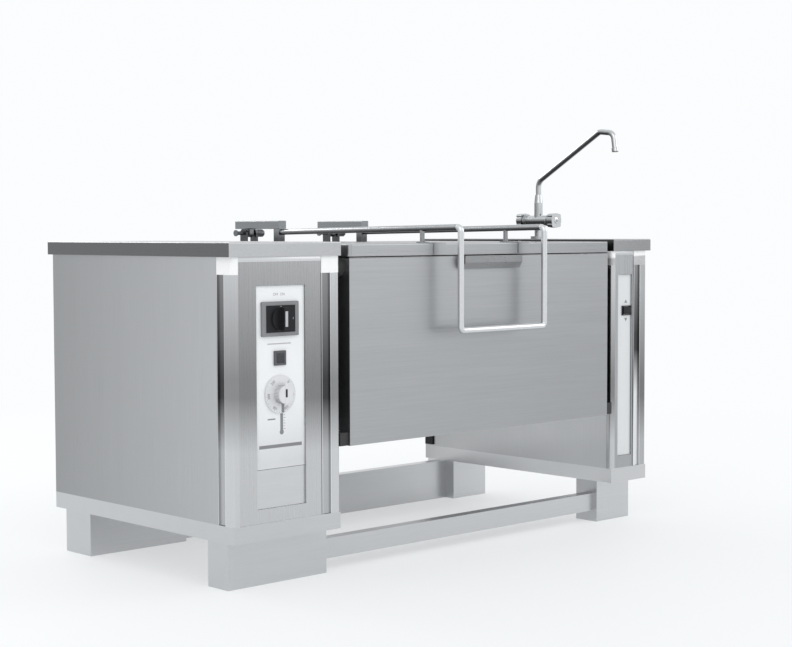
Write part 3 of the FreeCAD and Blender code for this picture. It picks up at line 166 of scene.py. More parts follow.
def buildHorizonTone():
    group, given, made = newGroup("horizonTone", {"Dark": 0.4, "Top": 0.8, "Shift": 0.0}, ("Tone",))
    place = splitOf(group, objectSpot(group))
    lean = workOut(group, "MULTIPLY", place["X"], horizonLook["lean"])
    height = workOut(group, "ADD", workOut(group, "ADD", place["Z"], lean), given.outputs["Shift"])
    below = spreadValue(group, height, 1.0, 0.0, horizonLook["fadeFrom"], horizonLook["darkFrom"])
    above = workOut(group, "MULTIPLY", spreadValue(group, height, 0.0, 1.0, horizonLook["darkTo"],
                                                   horizonLook["fadeTo"]), given.outputs["Top"])
    room = workOut(group, "SUBTRACT", 1.0, given.outputs["Dark"])
    lit = workOut(group, "MULTIPLY", workOut(group, "MAXIMUM", below, above), room)
    feed(group, made, {"Tone": workOut(group, "ADD", lit, given.outputs["Dark"])})
    return group


# painted shade: slope darkens by place and facing by the way a face turns, towards Dark at one end of the
# span
def buildRangeTone(name, source, along, ends, darkEnd):
    low, high, dark = ends
    group, given, made = newGroup(name, {"Along": along, "Low": low, "High": high, "Dark": dark}, ("Tone",))
    values = {"Value": dotOf(group, source(group), given.outputs["Along"]), "From Min": given.outputs["Low"],
              "From Max": given.outputs["High"], "To Min": 1.0, "To Max": 1.0, darkEnd: given.outputs["Dark"]}
    feed(group, made, {"Tone": addNode(group, "ShaderNodeMapRange", values).outputs["Result"]})
    return group


sheetGrain = buildSheetGrain()
edgeWearAndHighlight = buildEdgeWearAndHighlight()
handling = buildHandling()
speckle = buildSpeckle()
# the painted reflection and shade tones that a look may name
toneGroups = {
    "horizon": buildHorizonTone(),
    "slope": buildRangeTone("slopeTone", objectSpot, (0.0, 0.0, 1.0), (0.0, 1.0, 0.8), "To Min"),
    "facing": buildRangeTone("facingTone", surfaceNormal, (0.0, 0.0, -1.0), (0.0, 0.8, 0.5), "To Max"),
}


def useGroup(tree, group, values):
    return addNode(tree, "ShaderNodeGroup", values, node_tree=group).outputs


# lays each painted tone that the look names over the colour, darkening it towards dark
def shadeTones(tree, shown, look, dark=(0.0, 0.0, 0.0)):
    for effect, group in toneGroups.items():
        if effect in look:
            shown = mixColours(tree, useGroup(tree, group, look[effect])["Tone"], rgba(dark), shown)
    return shown


def newFinish(name):
    finish = bpy.data.materials.new(name)
    finish.use_nodes = True
    tree = finish.node_tree
    return finish, tree, tree.nodes["Principled BSDF"]


def addBump(tree, shader, height, strength, distance):
    bump = addNode(tree, "ShaderNodeBump", {"Strength": strength, "Distance": distance, "Height": height})
    feed(tree, shader, {"Normal": bump.outputs["Normal"]})


def toneSpan(along, low, high, dark):
    return {"Along": along, "Low": low, "High": high, "Dark": dark}


# brushed, polished and welded steels: stretch is the grain's fineness along x, y and z; each tone paints in
# the light that sheet gets, so one steel stands lighter or darker from sheet to sheet, and the horizon, slope
# and facing tones are painted reflection and shade for what the sheets mirror: a dark band low on the
# columns, lighter fronts and dark slab ends

uprightGrain, acrossGrain, deepGrain = (620, 620, 5), (5, 620, 620), (620, 5, 620)
usualSteel = {"rough": 0.30, "stretch": uprightGrain, "smudge": 0.30, "bump": 0.08, "edgeBand": 0.0010}
steelLooks = {
    # side panels: painted shade, darker towards the rear
    "sidePanel": {"tone": 0.60, "slope": toneSpan((0, -1, 0), -0.40, 0.42, 0.68)},
    # near pillar's front: painted horizon reflection
    "pillarFront": {"tone": 0.70, "rough": 0.28, "horizon": {"Dark": 0.40, "Top": 0.60}},
    # far pillar's front: the same steel painted darker for the light it gets
    "farPillarFront": {"tone": 0.48, "rough": 0.28},
    # inner sheets: painted lighter to lift their shade, with a painted shadow of the pan towards the rear and
    # top
    "innerSheet": {"tone": 0.84, "rough": 0.32, "slope": toneSpan((0, -1, -0.9), -0.69, 0.10, 0.50)},
    "rearSheet": {"tone": 0.50, "rough": 0.32, "smudge": 0.40, "bump": 0.10, "edgeBand": 0.0012},
    # pan and lid: painted light, brighter to the left
    "panSheet": {"tone": 0.51, "rough": 0.33, "stretch": acrossGrain,
                 "slope": toneSpan((-1, 0, 0), -0.64, 0.44, 0.86)},
    "lidSheet": {"tone": 0.50, "stretch": acrossGrain, "edgeBand": 0.0006,
                 "slope": toneSpan((-1, 0, 0), -0.64, 0.44, 0.78)},
    # beams and plinths: the same steel painted lighter for the light they get
    "plinthSheet": {"tone": 0.72, "rough": 0.32, "stretch": acrossGrain, "smudge": 0.40, "bump": 0.10,
                    "edgeBand": 0.0012},
    # far base: painted lighter still, with painted shade on its front faces and towards the rear
    "farPlinthSheet": {"tone": 1.05, "rough": 0.32, "stretch": acrossGrain, "smudge": 0.40, "bump": 0.10,
                       "edgeBand": 0.0012, "facing": toneSpan((0, -1, 0), 0.6, 0.9, 0.68),
                       "slope": toneSpan((0, -1, 0), -0.42, 0.10, 0.50)},
    # hinge rail: painted shade on the faces turned to the front and left
    "hingeSheet": {"tone": 0.50, "smudge": 0.40, "bump": 0.10,
                   "facing": toneSpan((-0.7, -0.7, 0), 0.2, 0.7, 0.20)},
    # worktops: painted shade, dark ends and darker to the right
    "slabSheet": {"tone": 0.62, "rough": 0.28, "stretch": deepGrain, "edgeBand": 0.0008,
                  "slope": toneSpan((-1, 0, 0), -0.85, 0.80, 0.55),
                  "facing": toneSpan((-1, 0, 0), 0.6, 0.9, 0.28)},
    # hinge bars: painted shade, darker below their top edge
    "barSheet": {"tone": 0.30, "rough": 0.26, "stretch": deepGrain, "edgeBand": 0.0008,
                 "slope": toneSpan((0, 0, 1), 0.905, 0.932, 0.35)},
    # columns: painted horizon reflection, and painted shade on the far column
    "columnSheet": {"tone": 0.76, "rough": 0.20, "stretch": (760, 760, 4), "smudge": 0.20, "bump": 0.06,
                    "horizon": {"Dark": 0.44, "Top": 1.20},
                    "slope": toneSpan((-1, 0, 0), -0.82, -0.60, 0.72)},
    # strips in the column grooves: painted shade and horizon reflection, the far one shifted
    "grooveShade": {"tone": 0.60, "rough": 0.34, "bump": 0.06, "edgeBand": 0.0004,
                    "horizon": {"Dark": 0.12, "Top": 0.60}},
    "farGrooveShade": {"tone": 0.96, "rough": 0.34, "bump": 0.06, "edgeBand": 0.0004,
                       "horizon": {"Dark": 0.08, "Top": 0.45, "Shift": -0.15}},
    # tub: painted shade on its front lip
    "tubInside": {"tone": 0.54, "rough": 0.26, "stretch": (40, 420, 420), "smudge": 0.50, "bump": 0.12,
                  "edgeBand": 0.0012, "slope": toneSpan((0, 1, 0), -0.44, -0.41, 0.62)},
    "weldedTube": {"tone": 0.38, "rough": 0.42, "stretch": (240, 240, 20), "smudge": 0.70, "bump": 0.16,
                   "edgeBand": 0.0014},
    # arms and posts: painted shade on faces turned down
    "polishedBar": {"tone": 0.52, "rough": 0.15, "stretch": (900, 30, 900), "smudge": 0.25, "bump": 0.04,
                    "edgeBand": 0.0006, "facing": toneSpan((0, 0, -1), -0.3, 0.6, 0.16)},
    "satinHandle": {"tone": 0.84, "rough": 0.27, "stretch": (900, 900, 40), "smudge": 0.25, "bump": 0.05,
                    "edgeBand": 0.0008},
    "fineCover": {"tone": 0.77, "rough": 0.33, "stretch": (12, 900, 900), "edgeBand": 0.0008},
    # highlight strips under the worktops: painted highlight, darker to the right
    "revealHighlight": {"tone": 0.82, "stretch": acrossGrain, "smudge": 0.20, "bump": 0.04, "edgeBand": 0.0004,
                     "slope": toneSpan((-1, 0, 0), -0.82, -0.20, 0.80)},
    # highlight strips along the groove edges, with the painted horizon reflection
    "grooveEdgeHighlight": {"tone": 0.98, "smudge": 0.20, "bump": 0.04, "edgeBand": 0.0003,
                   "horizon": {"Dark": 0.50, "Top": 1.20}},
    "springWire": {"tone": 0.20, "rough": 0.34, "stretch": (300, 300, 300), "smudge": 0.80, "bump": 0.10,
                   "edgeBand": 0.0005},
}
steelMix = {"gain": 0.80, "spread": 0.040, "tint": (0.0, 0.008, 0.018), "banding": 0.25, "breakup": 70.0,
            "wiped": 5.0, "wearAndHighlightBright": 1.2, "dust": (0.62, 0.61, 0.59)}  # gain moves all the tones together


def buildSteel(name, look):
    look = {**usualSteel, **look}
    finish, tree, shader = newFinish(name)
    grain = useGroup(tree, sheetGrain, {"Stretch": look["stretch"], "Banding": steelMix["banding"]})
    edgeBand = useGroup(tree, edgeWearAndHighlight, {"Width": look["edgeBand"], "Breakup": steelMix["breakup"]})
    touched = useGroup(tree, handling, {"Size": steelMix["wiped"], "Amount": look["smudge"]})
    level = look["tone"] * steelMix["gain"]
    dark, light = ([level + shift + part for part in steelMix["tint"]]
                   for shift in (-steelMix["spread"], steelMix["spread"]))
    bright = [min(1.0, part * steelMix["wearAndHighlightBright"]) for part in light]
    tone = workOut(tree, "ADD", workOut(tree, "MULTIPLY", grain["Grain"], 0.6),
                   workOut(tree, "MULTIPLY", grain["Bands"], 0.4))
    shown = mixColours(tree, spreadValue(tree, tone, 0.0, 1.0, 0.3, 0.7), rgba(dark), rgba(light))
    # painted reflection and shade from the look's tones
    shown = shadeTones(tree, shown, look)
    # painted highlight along the edges, broken into rubbed patches
    wornAndHighlighted = mixColours(tree, workOut(tree, "MULTIPLY", edgeBand["Mask"], 0.6), shown, rgba(bright))
    dusted = mixColours(tree, workOut(tree, "MULTIPLY", touched["Dust"], 0.12), wornAndHighlighted, rgba(steelMix["dust"]))
    satin = spreadValue(tree, grain["Grain"], look["rough"] - 0.04, look["rough"] + 0.05, 0.3, 0.7)
    rough = workOut(tree, "ADD", satin, workOut(tree, "MULTIPLY", touched["Smudge"], 0.12))
    feed(tree, shader, {"Base Color": dusted, "Roughness": rough, "Metallic": 1.0})
    addBump(tree, shader, grain["Grain"], look["bump"], 0.0006)
    return finish


# mirror finishes: plated brass with a faint orange peel and water spots, with painted shade on faces turned
# down and away and a painted highlight on the edges

platedLooks = {
    "tapChrome": {"colour": (0.62, 0.63, 0.64), "spot": (0.50, 0.51, 0.52), "rough": 0.07, "peel": 0.03,
                  "facing": toneSpan((-0.45, 0.42, -0.79), -0.1, 0.75, 0.10)},
    "boltZinc": {"colour": (0.50, 0.51, 0.52), "spot": (0.38, 0.38, 0.37), "rough": 0.24, "peel": 0.10,
                 "facing": toneSpan((0, 0, -1), 0.0, 0.9, 0.45)},
}
platedMix = {"peelSize": 340.0, "spotSize": 28.0, "spots": 0.9, "edgeBand": 0.0006, "breakup": 120.0,
             "bright": (0.88, 0.88, 0.88)}


def buildPlated(name, look):
    finish, tree, shader = newFinish(name)
    peel = useGroup(tree, speckle, {"Size": platedMix["peelSize"]})
    touched = useGroup(tree, handling, {"Size": platedMix["spotSize"], "Amount": platedMix["spots"]})
    edgeBand = useGroup(tree, edgeWearAndHighlight, {"Width": platedMix["edgeBand"], "Breakup": platedMix["breakup"]})
    spotted = mixColours(tree, touched["Smudge"], rgba(look["colour"]), rgba(look["spot"]))
    # painted shade from the facing tone, and a painted highlight on the edges
    wornAndHighlighted = mixColours(tree, workOut(tree, "MULTIPLY", edgeBand["Mask"], 0.5), shadeTones(tree, spotted, look),
                      rgba(platedMix["bright"]))
    rough = spreadValue(tree, touched["Smudge"], look["rough"], look["rough"] + 0.14)
    feed(tree, shader, {"Base Color": wornAndHighlighted, "Roughness": rough, "Metallic": 1.0})
    addBump(tree, shader, peel["Grit"], look["peel"], 0.0004)
    return finish


# painted, moulded and coated finishes: tints are the surface, its mottling and where it is worn

usualCoat = {"rough": 0.42, "size": 1500, "bump": 0.12, "coat": 0.0, "smudge": 0.5, "shine": 0.5}
printCoat = {"rough": 0.5, "size": 2500, "bump": 0.02, "smudge": 0.4}
coatedLooks = {
    # plate: painted shade, darker towards the bottom
    "plateWhite": {"tints": ((0.90, 0.91, 0.915), (0.84, 0.85, 0.855), (0.72, 0.73, 0.74)), "rough": 0.34,
                   "size": 900, "bump": 0.03, "coat": 0.15, "smudge": 0.35,
                   "slope": toneSpan((0, 0, 1), 0.33, 0.48, 0.74)},
    # caps: painted shade on their lower part
    "capWhite": {"tints": ((0.95, 0.955, 0.955), (0.90, 0.90, 0.895), (0.80, 0.80, 0.79)), "rough": 0.28,
                 "size": 600, "bump": 0.04, "coat": 0.3, "smudge": 0.25,
                 "slope": toneSpan((-0.045, 0, 1), 0.808, 0.814, 0.45)},
    "stripPale": {"tints": ((0.73, 0.74, 0.745), (0.67, 0.68, 0.685), (0.62, 0.63, 0.64)), "rough": 0.34,
                  "size": 900, "bump": 0.03, "coat": 0.15, "smudge": 0.35},
    "mouldedBlack": {"tints": ((0.013, 0.013, 0.016), (0.020, 0.020, 0.023), (0.10, 0.10, 0.105)),
                     "rough": 0.40, "shine": 0.18},
    "borderGrey": {"tints": ((0.22, 0.22, 0.23), (0.26, 0.26, 0.27), (0.34, 0.34, 0.35)), "bump": 0.14,
                   "smudge": 0.6, "shine": 0.3},
    "lampGrey": {"tints": ((0.090, 0.090, 0.098), (0.115, 0.115, 0.122), (0.26, 0.26, 0.27)), "shine": 0.25},
    "dialGrey": {"tints": ((0.76, 0.765, 0.78), (0.70, 0.705, 0.72), (0.76, 0.77, 0.78)), "rough": 0.38,
                 "size": 1300, "bump": 0.10, "coat": 0.1},
    # knurl: painted shade on its lower half, under the hub
    "knurlGrey": {"tints": ((0.46, 0.465, 0.48), (0.40, 0.405, 0.42), (0.62, 0.63, 0.64)), "size": 1300,
                  "bump": 0.10, "slope": toneSpan((0, 0, 1), 0.494, 0.508, 0.42)},
    "gripGrey": {"tints": ((0.52, 0.525, 0.54), (0.46, 0.465, 0.48), (0.66, 0.67, 0.68)), "size": 1300,
                 "bump": 0.10},
    "printedBlack": {"tints": ((0.05, 0.05, 0.055), (0.07, 0.07, 0.075), (0.30, 0.30, 0.31)), **printCoat},
    "printedFaint": {"tints": ((0.46, 0.46, 0.48), (0.50, 0.50, 0.52), (0.66, 0.66, 0.67)), **printCoat},
    "printedPale": {"tints": ((0.72, 0.73, 0.74), (0.66, 0.67, 0.68), (0.50, 0.50, 0.51)), **printCoat},
    "printedGrey": {"tints": ((0.20, 0.20, 0.21), (0.26, 0.26, 0.27), (0.40, 0.40, 0.41)), **printCoat},
    "smokedLens": {"tints": ((0.034, 0.034, 0.038), (0.048, 0.048, 0.054), (0.20, 0.20, 0.21)), "rough": 0.20,
                   "size": 1200, "bump": 0.03, "coat": 0.3, "shine": 0.3},
    "indexGrey": {"tints": ((0.50, 0.505, 0.51), (0.42, 0.425, 0.43), (0.66, 0.66, 0.67)), "rough": 0.32,
                  "bump": 0.03, "coat": 0.4, "smudge": 0.4},
    "castingGrey": {"tints": ((0.20, 0.215, 0.23), (0.15, 0.16, 0.17), (0.42, 0.43, 0.44)), "rough": 0.48,
                    "size": 260, "bump": 0.45, "smudge": 0.8},
    "motorPaint": {"tints": ((0.17, 0.20, 0.245), (0.13, 0.155, 0.19), (0.40, 0.42, 0.44)), "rough": 0.40,
                   "size": 420, "bump": 0.20, "coat": 0.2, "smudge": 0.7},
    "mouldedRubber": {"tints": ((0.022, 0.022, 0.023), (0.040, 0.040, 0.041), (0.09, 0.09, 0.09)),
                      "rough": 0.68, "size": 900, "bump": 0.28, "smudge": 0.9},
}
# lowTone is the colour that the painted shade darkens towards
coatedMix = {"edgeBand": 0.0009, "breakup": 160.0, "wiped": 9.0, "lowTone": (0.02, 0.02, 0.04), "coatRough": 0.18}


def buildCoated(name, look):
    look = {**usualCoat, **look}
    colour, shade, bare = (rgba(tint) for tint in look["tints"])
    finish, tree, shader = newFinish(name)
    grit = useGroup(tree, speckle, {"Size": float(look["size"])})
    edgeBand = useGroup(tree, edgeWearAndHighlight, {"Width": coatedMix["edgeBand"], "Breakup": coatedMix["breakup"]})
    touched = useGroup(tree, handling, {"Size": coatedMix["wiped"], "Amount": look["smudge"]})
    mottled = mixColours(tree, spreadValue(tree, grit["Grit"], 0.0, 1.0, 0.35, 0.65), colour, shade)
    # painted shade from the slope tones
    mottled = shadeTones(tree, mottled, look, coatedMix["lowTone"])
    wiped = mixColours(tree, workOut(tree, "MULTIPLY", touched["Smudge"], 0.5), mottled, shade)
    wornAndHighlighted = mixColours(tree, workOut(tree, "MULTIPLY", edgeBand["Mask"], 0.7), wiped, bare)
    rough = spreadValue(tree, touched["Smudge"], look["rough"] - 0.03, look["rough"] + 0.12)
    feed(tree, shader, {"Base Color": wornAndHighlighted, "Roughness": rough, "Coat Weight": look["coat"],
                        "Coat Roughness": coatedMix["coatRough"], "Specular IOR Level": look["shine"]})
    height = workOut(tree, "ADD", grit["Grit"], workOut(tree, "MULTIPLY", grit["Pits"], 0.4))
    addBump(tree, shader, height, look["bump"], 0.0004)
    return finish


# steel that has been red hot: straw, violet and blue bands over scale

heatLook = {"colours": ((0.0, (0.12, 0.11, 0.11)), (0.35, (0.30, 0.22, 0.14)), (0.6, (0.20, 0.15, 0.20)),
                        (1.0, (0.16, 0.18, 0.24))), "scale": (0.09, 0.08, 0.08), "rough": 0.46, "size": 14.0,
            "grit": 420.0, "metal": 0.85}


def buildHeatTint(look):
    finish, tree, shader = newFinish("heatTinted")
    touched = useGroup(tree, handling, {"Size": look["size"], "Amount": 1.0})
    grit = useGroup(tree, speckle, {"Size": look["grit"]})["Grit"]
    ramp = addNode(tree, "ShaderNodeValToRGB", {"Fac": touched["Smudge"]})
    for index, (place, colour) in enumerate(look["colours"]):
        stop = ramp.color_ramp.elements[index] if index < 2 else ramp.color_ramp.elements.new(place)
        stop.position = place
        stop.color = rgba(colour)
    scaled = mixColours(tree, spreadValue(tree, grit, 0.0, 0.5, 0.4, 0.7), ramp.outputs["Color"],
                        rgba(look["scale"]))
    rough = spreadValue(tree, grit, look["rough"] - 0.1, look["rough"] + 0.14)
    feed(tree, shader, {"Base Color": scaled, "Roughness": rough, "Metallic": look["metal"]})
    addBump(tree, shader, grit, 0.3, 0.0005)
    return finish


finishes = {name: buildSteel(name, look) for name, look in steelLooks.items()}
finishes.update({name: buildPlated(name, look) for name, look in platedLooks.items()})
finishes.update({name: buildCoated(name, look) for name, look in coatedLooks.items()})
finishes["heatTinted"] = buildHeatTint(heatLook)
print("finishes made:", len(finishes))


# which finish each node of the frame wears

wornBy = {
    "sidePanel": ["left_outer_panel", "right_outer_panel"],
    "pillarFront": ["left_front_panel"],
    "farPillarFront": ["right_front_panel"],
    "innerSheet": ["left_inner_panel", "right_inner_panel"],
    "rearSheet": ["left_rear_panel", "right_rear_panel", "pan_rear_panel", "pan_bottom_panel"],
    "hingeSheet": ["hinge_rail"],
    "panSheet": ["pan_front_panel", "pan_side_panels"],
    "lidSheet": ["lid_shell", "lid_liner", "lid_brackets"],
    "plinthSheet": ["front_beam", "rear_beam", "left_base", "plinths"],
    "farPlinthSheet": ["right_base"],
    "slabSheet": ["left_top", "right_top"],
    "barSheet": ["hinge_bars"],
    "columnSheet": ["front_columns"],
    "tubInside": ["pan_vessel"],
    "weldedTube": ["left_frame", "right_frame", "levelling_feet", "trunnions"],
    "polishedBar": ["lid_arms", "arm_posts"],
    "satinHandle": ["lid_handle"],
    "fineCover": ["service_cover"],
    "springWire": ["hinge_springs", "hinge_pins"],
    "tapChrome": ["tap_body", "tap_spout", "hot_handle", "cold_handle", "water_pipes"],
    "plateWhite": ["control_plate"],
    "stripPale": ["tilt_strip"],
    "capWhite": ["column_caps"],
    "mouldedBlack": ["switch_knob", "switch_gear", "rocker_frame", "tilt_rocker", "cable_gland",
                     "frame_plug"],
    "borderGrey": ["switch_plate"],
    "lampGrey": ["indicator_lamp"],
    "dialGrey": ["thermostat_dial"],
    "castingGrey": ["tilt_gearbox", "trunnion_bearings"],
    "motorPaint": ["tilt_motor"],
    "mouldedRubber": ["side_buffers", "trunnion_bushes"],
    "heatTinted": ["heating_plate", "heating_elements"],
}
for finishName, wearers in wornBy.items():
    for nodeName in wearers:
        for place in nodes[nodeName].material_slots:
            place.link = "DATA"
            place.material = finishes[finishName]
print("nodes finished:", sum(len(wearers) for wearers in wornBy.values()))


# small mesh tools for the pieces that the frame lacks

def keepMesh(name, shape):
    mesh = bpy.data.meshes.new(name)
    bmesh.ops.recalc_face_normals(shape, faces=shape.faces)
    shape.to_mesh(mesh)
    shape.free()
    return mesh


def turnedMesh(name, profile, sides=36):
    shape = bmesh.new()  # profile holds (radius, height) pairs, and a third True makes that ring hexagonal
    rings = []
    for radius, height, *hexed in profile:
        ring = []
        for step in range(sides if radius else 1):
            angle = 2 * math.pi * step / sides
            flat = (angle + math.pi / 6) % (math.pi / 3) - math.pi / 6
            reach = radius * math.cos(math.pi / 6) / math.cos(flat) if hexed else radius
            ring.append(shape.verts.new((reach * math.cos(angle), reach * math.sin(angle), height)))
        rings.append(ring)
    for below, above in zip(rings, rings[1:]):
        for step in range(sides):
            after = (step + 1) % sides
            corners = [below[step % len(below)], below[after % len(below)],
                       above[after % len(above)], above[step % len(above)]]
            shape.faces.new(list(dict.fromkeys(corners)))
    return keepMesh(name, shape)


def slabMesh(name, low, high, edge, segments=3):
    shape = bmesh.new()
    bmesh.ops.create_cube(shape, size=1.0)
    low, high = Vector(low), Vector(high)
    for corner in shape.verts:
        corner.co = [low[axis] + (corner.co[axis] + 0.5) * (high[axis] - low[axis]) for axis in range(3)]
    bmesh.ops.bevel(shape, geom=shape.edges[:], offset=edge, segments=segments, profile=0.5, affect="EDGES")
    return keepMesh(name, shape)


def flatMesh(name, outline, back, front, hole=None):
    shape = bmesh.new()  # outline and hole are (x, z) points with the same count
    sides = len(outline)
    loops = [[shape.verts.new((x, y, z)) for x, z in points]
             for points in ([outline, hole] if hole else [outline]) for y in (back, front)]
    for step in range(sides):
        after = (step + 1) % sides
        for rear, fore in zip(loops[::2], loops[1::2]):
            shape.faces.new([rear[step], rear[after], fore[after], fore[step]])
        if hole:
            for outer, inner in ((loops[0], loops[2]), (loops[1], loops[3])):
                shape.faces.new([outer[step], outer[after], inner[after], inner[step]])
    if not hole:
        shape.faces.new(loops[0])
        shape.faces.new(loops[1])
    return keepMesh(name, shape)


def textMesh(name, words, size, depth):
    curve = bpy.data.curves.new(name, "FONT")
    curve.body = words
    curve.size = size
    curve.extrude = depth
    curve.align_x = "CENTER"
    curve.align_y = "CENTER"
    holder = bpy.data.objects.new(name, curve)
    mesh = bpy.data.meshes.new_from_object(holder)
    bpy.data.objects.remove(holder)
    bpy.data.curves.remove(curve)
    mesh.transform(Matrix.Rotation(math.pi / 2, 4, "X"))  # stands up and faces the front
    return mesh


def ringMesh(name, radius, thickness, ripples=0, ripple=0.0, rounds=72, sides=10):
    shape = bmesh.new()
    rings = []
    for step in range(rounds):
        angle = 2 * math.pi * step / rounds
        swell = thickness * (1 + ripple * math.sin(angle * ripples))
        ring = []
        for side in range(sides):
            lift = 2 * math.pi * side / sides
            reach = radius + swell * math.cos(lift)
            spot = (reach * math.cos(angle), reach * math.sin(angle), swell * math.sin(lift))
            ring.append(shape.verts.new(spot))
        rings.append(ring)
    for step, ring in enumerate(rings):
        ahead = rings[(step + 1) % rounds]
        for side in range(sides):
            after = (side + 1) % sides
            shape.faces.new([ring[side], ring[after], ahead[after], ahead[side]])
    return keepMesh(name, shape)


def joinMeshes(name, meshes):
    shape = bmesh.new()
    for mesh in meshes:
        shape.from_mesh(mesh)
        bpy.data.meshes.remove(mesh)
    joined = bpy.data.meshes.new(name)
    shape.to_mesh(joined)
    shape.free()
    return joined


def movedMesh(mesh, spot, axis=(0, 0, 1), spin=0.0):
    turn = Vector((0, 0, 1)).rotation_difference(Vector(axis)).to_matrix().to_4x4()
    mesh.transform(Matrix.Translation(spot) @ turn @ Matrix.Rotation(spin, 4, "Z"))
    return mesh


def roundPlaced(mesh, centre, radius, angle, face):
    mesh.transform(Matrix.Rotation(angle, 4, "Y"))  # clockwise from the top, seen from the front
    across, up = radius * math.sin(angle), radius * math.cos(angle)
    return movedMesh(mesh, Vector((centre.x + across, face, centre.z + up)))


def ribRing(name, look, centre, radius, face):
    turns = [2 * math.pi * step / look["ribs"] for step in range(look["ribs"])]
    return [roundPlaced(slabMesh(name, look["ribFrom"], look["ribTo"], 0.0002, 1), centre, radius, turn, face)
            for turn in turns]


sharpAngle = 35  # degrees between two faces before their edge shows as sharp


def settle(name, mesh, finish, body):
    if isinstance(mesh, list):
        mesh = joinMeshes(name, mesh)
    mesh.shade_smooth()
    mesh.set_sharp_from_angle(angle=math.radians(sharpAngle))
    mesh.materials.clear()
    mesh.materials.append(finishes[finish])
    piece = bpy.data.objects.new(name, mesh)
    scene.collection.objects.link(piece)
    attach(piece, body)


def middleOf(node):
    low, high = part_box(node)
    return (low + high) / 2


# socket screws of the rear sheets, the underside and the lid's brackets

screwLook = {"radius": 0.0042, "height": 0.0021, "socket": 0.0021, "deep": 0.0013, "washer": 0.0060}
screwPlaces = {"washerThick": 0.0004, "sunk": 0.0001, "rearInset": 0.014, "panInset": 0.018,
               "underInset": 0.03, "bracketFront": 0.030, "bracketSides": (0.010, 0.036), "bracketScale": 0.8}


def placeScrews(name, body, spots, axis, scale=1.0):
    radius, height, socket, deep, washer = (length * scale for length in screwLook.values())
    thick = screwPlaces["washerThick"]
    profile = [(0, height - deep), (socket, height - deep, True), (socket, height, True),
               (radius * 0.72, height), (radius * 0.93, height * 0.8), (radius, height * 0.45),
               (radius, thick), (washer, thick), (washer, -screwPlaces["sunk"])]
    turns = random.Random(name)
    heads = [movedMesh(turnedMesh(name, profile, 24), spot, axis, turns.uniform(0, math.pi / 3))
             for spot in spots]
    settle(name, heads, "boltZinc", body)


def gridSpots(node, inset, face, axis, across, along):
    low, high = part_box(node)
    sides = [side for side in range(3) if side != axis]
    spots = []
    for first in range(across):
        for second in range(along):
            spot = [face, face, face]
            for side, share in ((sides[0], first / (across - 1)), (sides[1], second / (along - 1))):
                spot[side] = low[side] + inset + share * (high[side] - low[side] - 2 * inset)
            spots.append(tuple(spot))
    return spots


def buildScrews():
    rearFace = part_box("left_rear_panel")[1].y
    for side in ("left", "right"):
        spots = gridSpots(f"{side}_rear_panel", screwPlaces["rearInset"], rearFace, 1, 2, 4)
        placeScrews(f"{side}RearScrews", "base", spots, (0, 1, 0))
    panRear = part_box("pan_rear_panel")[1].y
    spots = gridSpots("pan_rear_panel", screwPlaces["panInset"], panRear, 1, 5, 2)
    placeScrews("panRearScrews", "pan", spots, (0, 1, 0))
    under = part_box("pan_bottom_panel")[0].z
    spots = gridSpots("pan_bottom_panel", screwPlaces["underInset"], under, 2, 5, 3)
    placeScrews("panUnderScrews", "pan", spots, (0, 0, -1))
    low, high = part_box("lid_brackets")
    spots = [(edge + side * shift, low.y + screwPlaces["bracketFront"], high.z)
             for edge, side in ((low.x, 1), (high.x, -1)) for shift in screwPlaces["bracketSides"]]
    placeScrews("bracketScrews", "lid", spots, (0, 0, 1), screwPlaces["bracketScale"])


# bright strip under each worktop, a painted highlight along the front panel's top edge; dark strips down the
# grooves of the columns, painted shade and reflection; and bright strips along the groove edges, painted
# highlights

trimLook = {"stripTall": 0.013, "stripProud": 0.0012, "shadeThick": 0.0006, "grooveIn": 0.005,
            "grooveFrom": 0.034, "grooveTo": 0.062, "nearGroove": (0.300, 0.328), "edgeWide": 0.0018,
            "edgeProud": 0.0003, "edgeSunk": 0.0002, "edgeRound": 0.0002}


def buildTrim():
    for side in ("left", "right"):
        low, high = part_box(f"{side}_front_panel")
        # each strip is a painted highlight along the front panel's top edge
        foot = (low.x, low.y - trimLook["stripProud"], high.z - trimLook["stripTall"])
        strip = slabMesh("revealHighlightStrip", foot, (high.x, low.y, high.z), 0.0004)
        settle(f"{side}RevealHighlightStrip", strip, "revealHighlight", "base")
    low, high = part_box("front_columns")
    thick = trimLook["shadeThick"]
    bottom = low.y + trimLook["grooveIn"]
    sideFrom, sideTo = low.y + trimLook["grooveFrom"], low.y + trimLook["grooveTo"]
    fronts = [tuple(low.x + reach for reach in trimLook["nearGroove"]),
              (high.x - trimLook["grooveTo"], high.x - trimLook["grooveFrom"])]
    # dark strips at the groove floors: painted shade and dark reflection
    near, far = (slabMesh("grooveShadeStrip", (left, bottom - thick, low.z), (right, bottom, high.z), 0.0001, 1)
                 for left, right in fronts)
    side = low.x + trimLook["grooveIn"]
    flank = slabMesh("grooveShadeStrip", (side - thick, sideFrom, low.z), (side, sideTo, high.z), 0.0001, 1)
    settle("columnGrooveShades", [near, flank], "grooveShade", "base")
    settle("farColumnGrooveShade", far, "farGrooveShade", "base")
    # bright strips along the groove edges: painted highlights
    edge, proud, sunk, bevel = (trimLook[part] for part in ("edgeWide", "edgeProud", "edgeSunk", "edgeRound"))
    edges = [slabMesh("edge", (start, low.y - proud, low.z), (start + edge, low.y + sunk, high.z), bevel, 1)
             for left, right in fronts for start in (left - edge, right)]
    edges += [slabMesh("edge", (low.x - proud, start, low.z), (low.x + sunk, start + edge, high.z), bevel, 1)
              for start in (sideFrom - edge, sideTo)]
    settle("grooveEdgeHighlights", edges, "grooveEdgeHighlight", "base")


# main switch: a raised black escutcheon on the grey border, a knurled collar and a pale grip

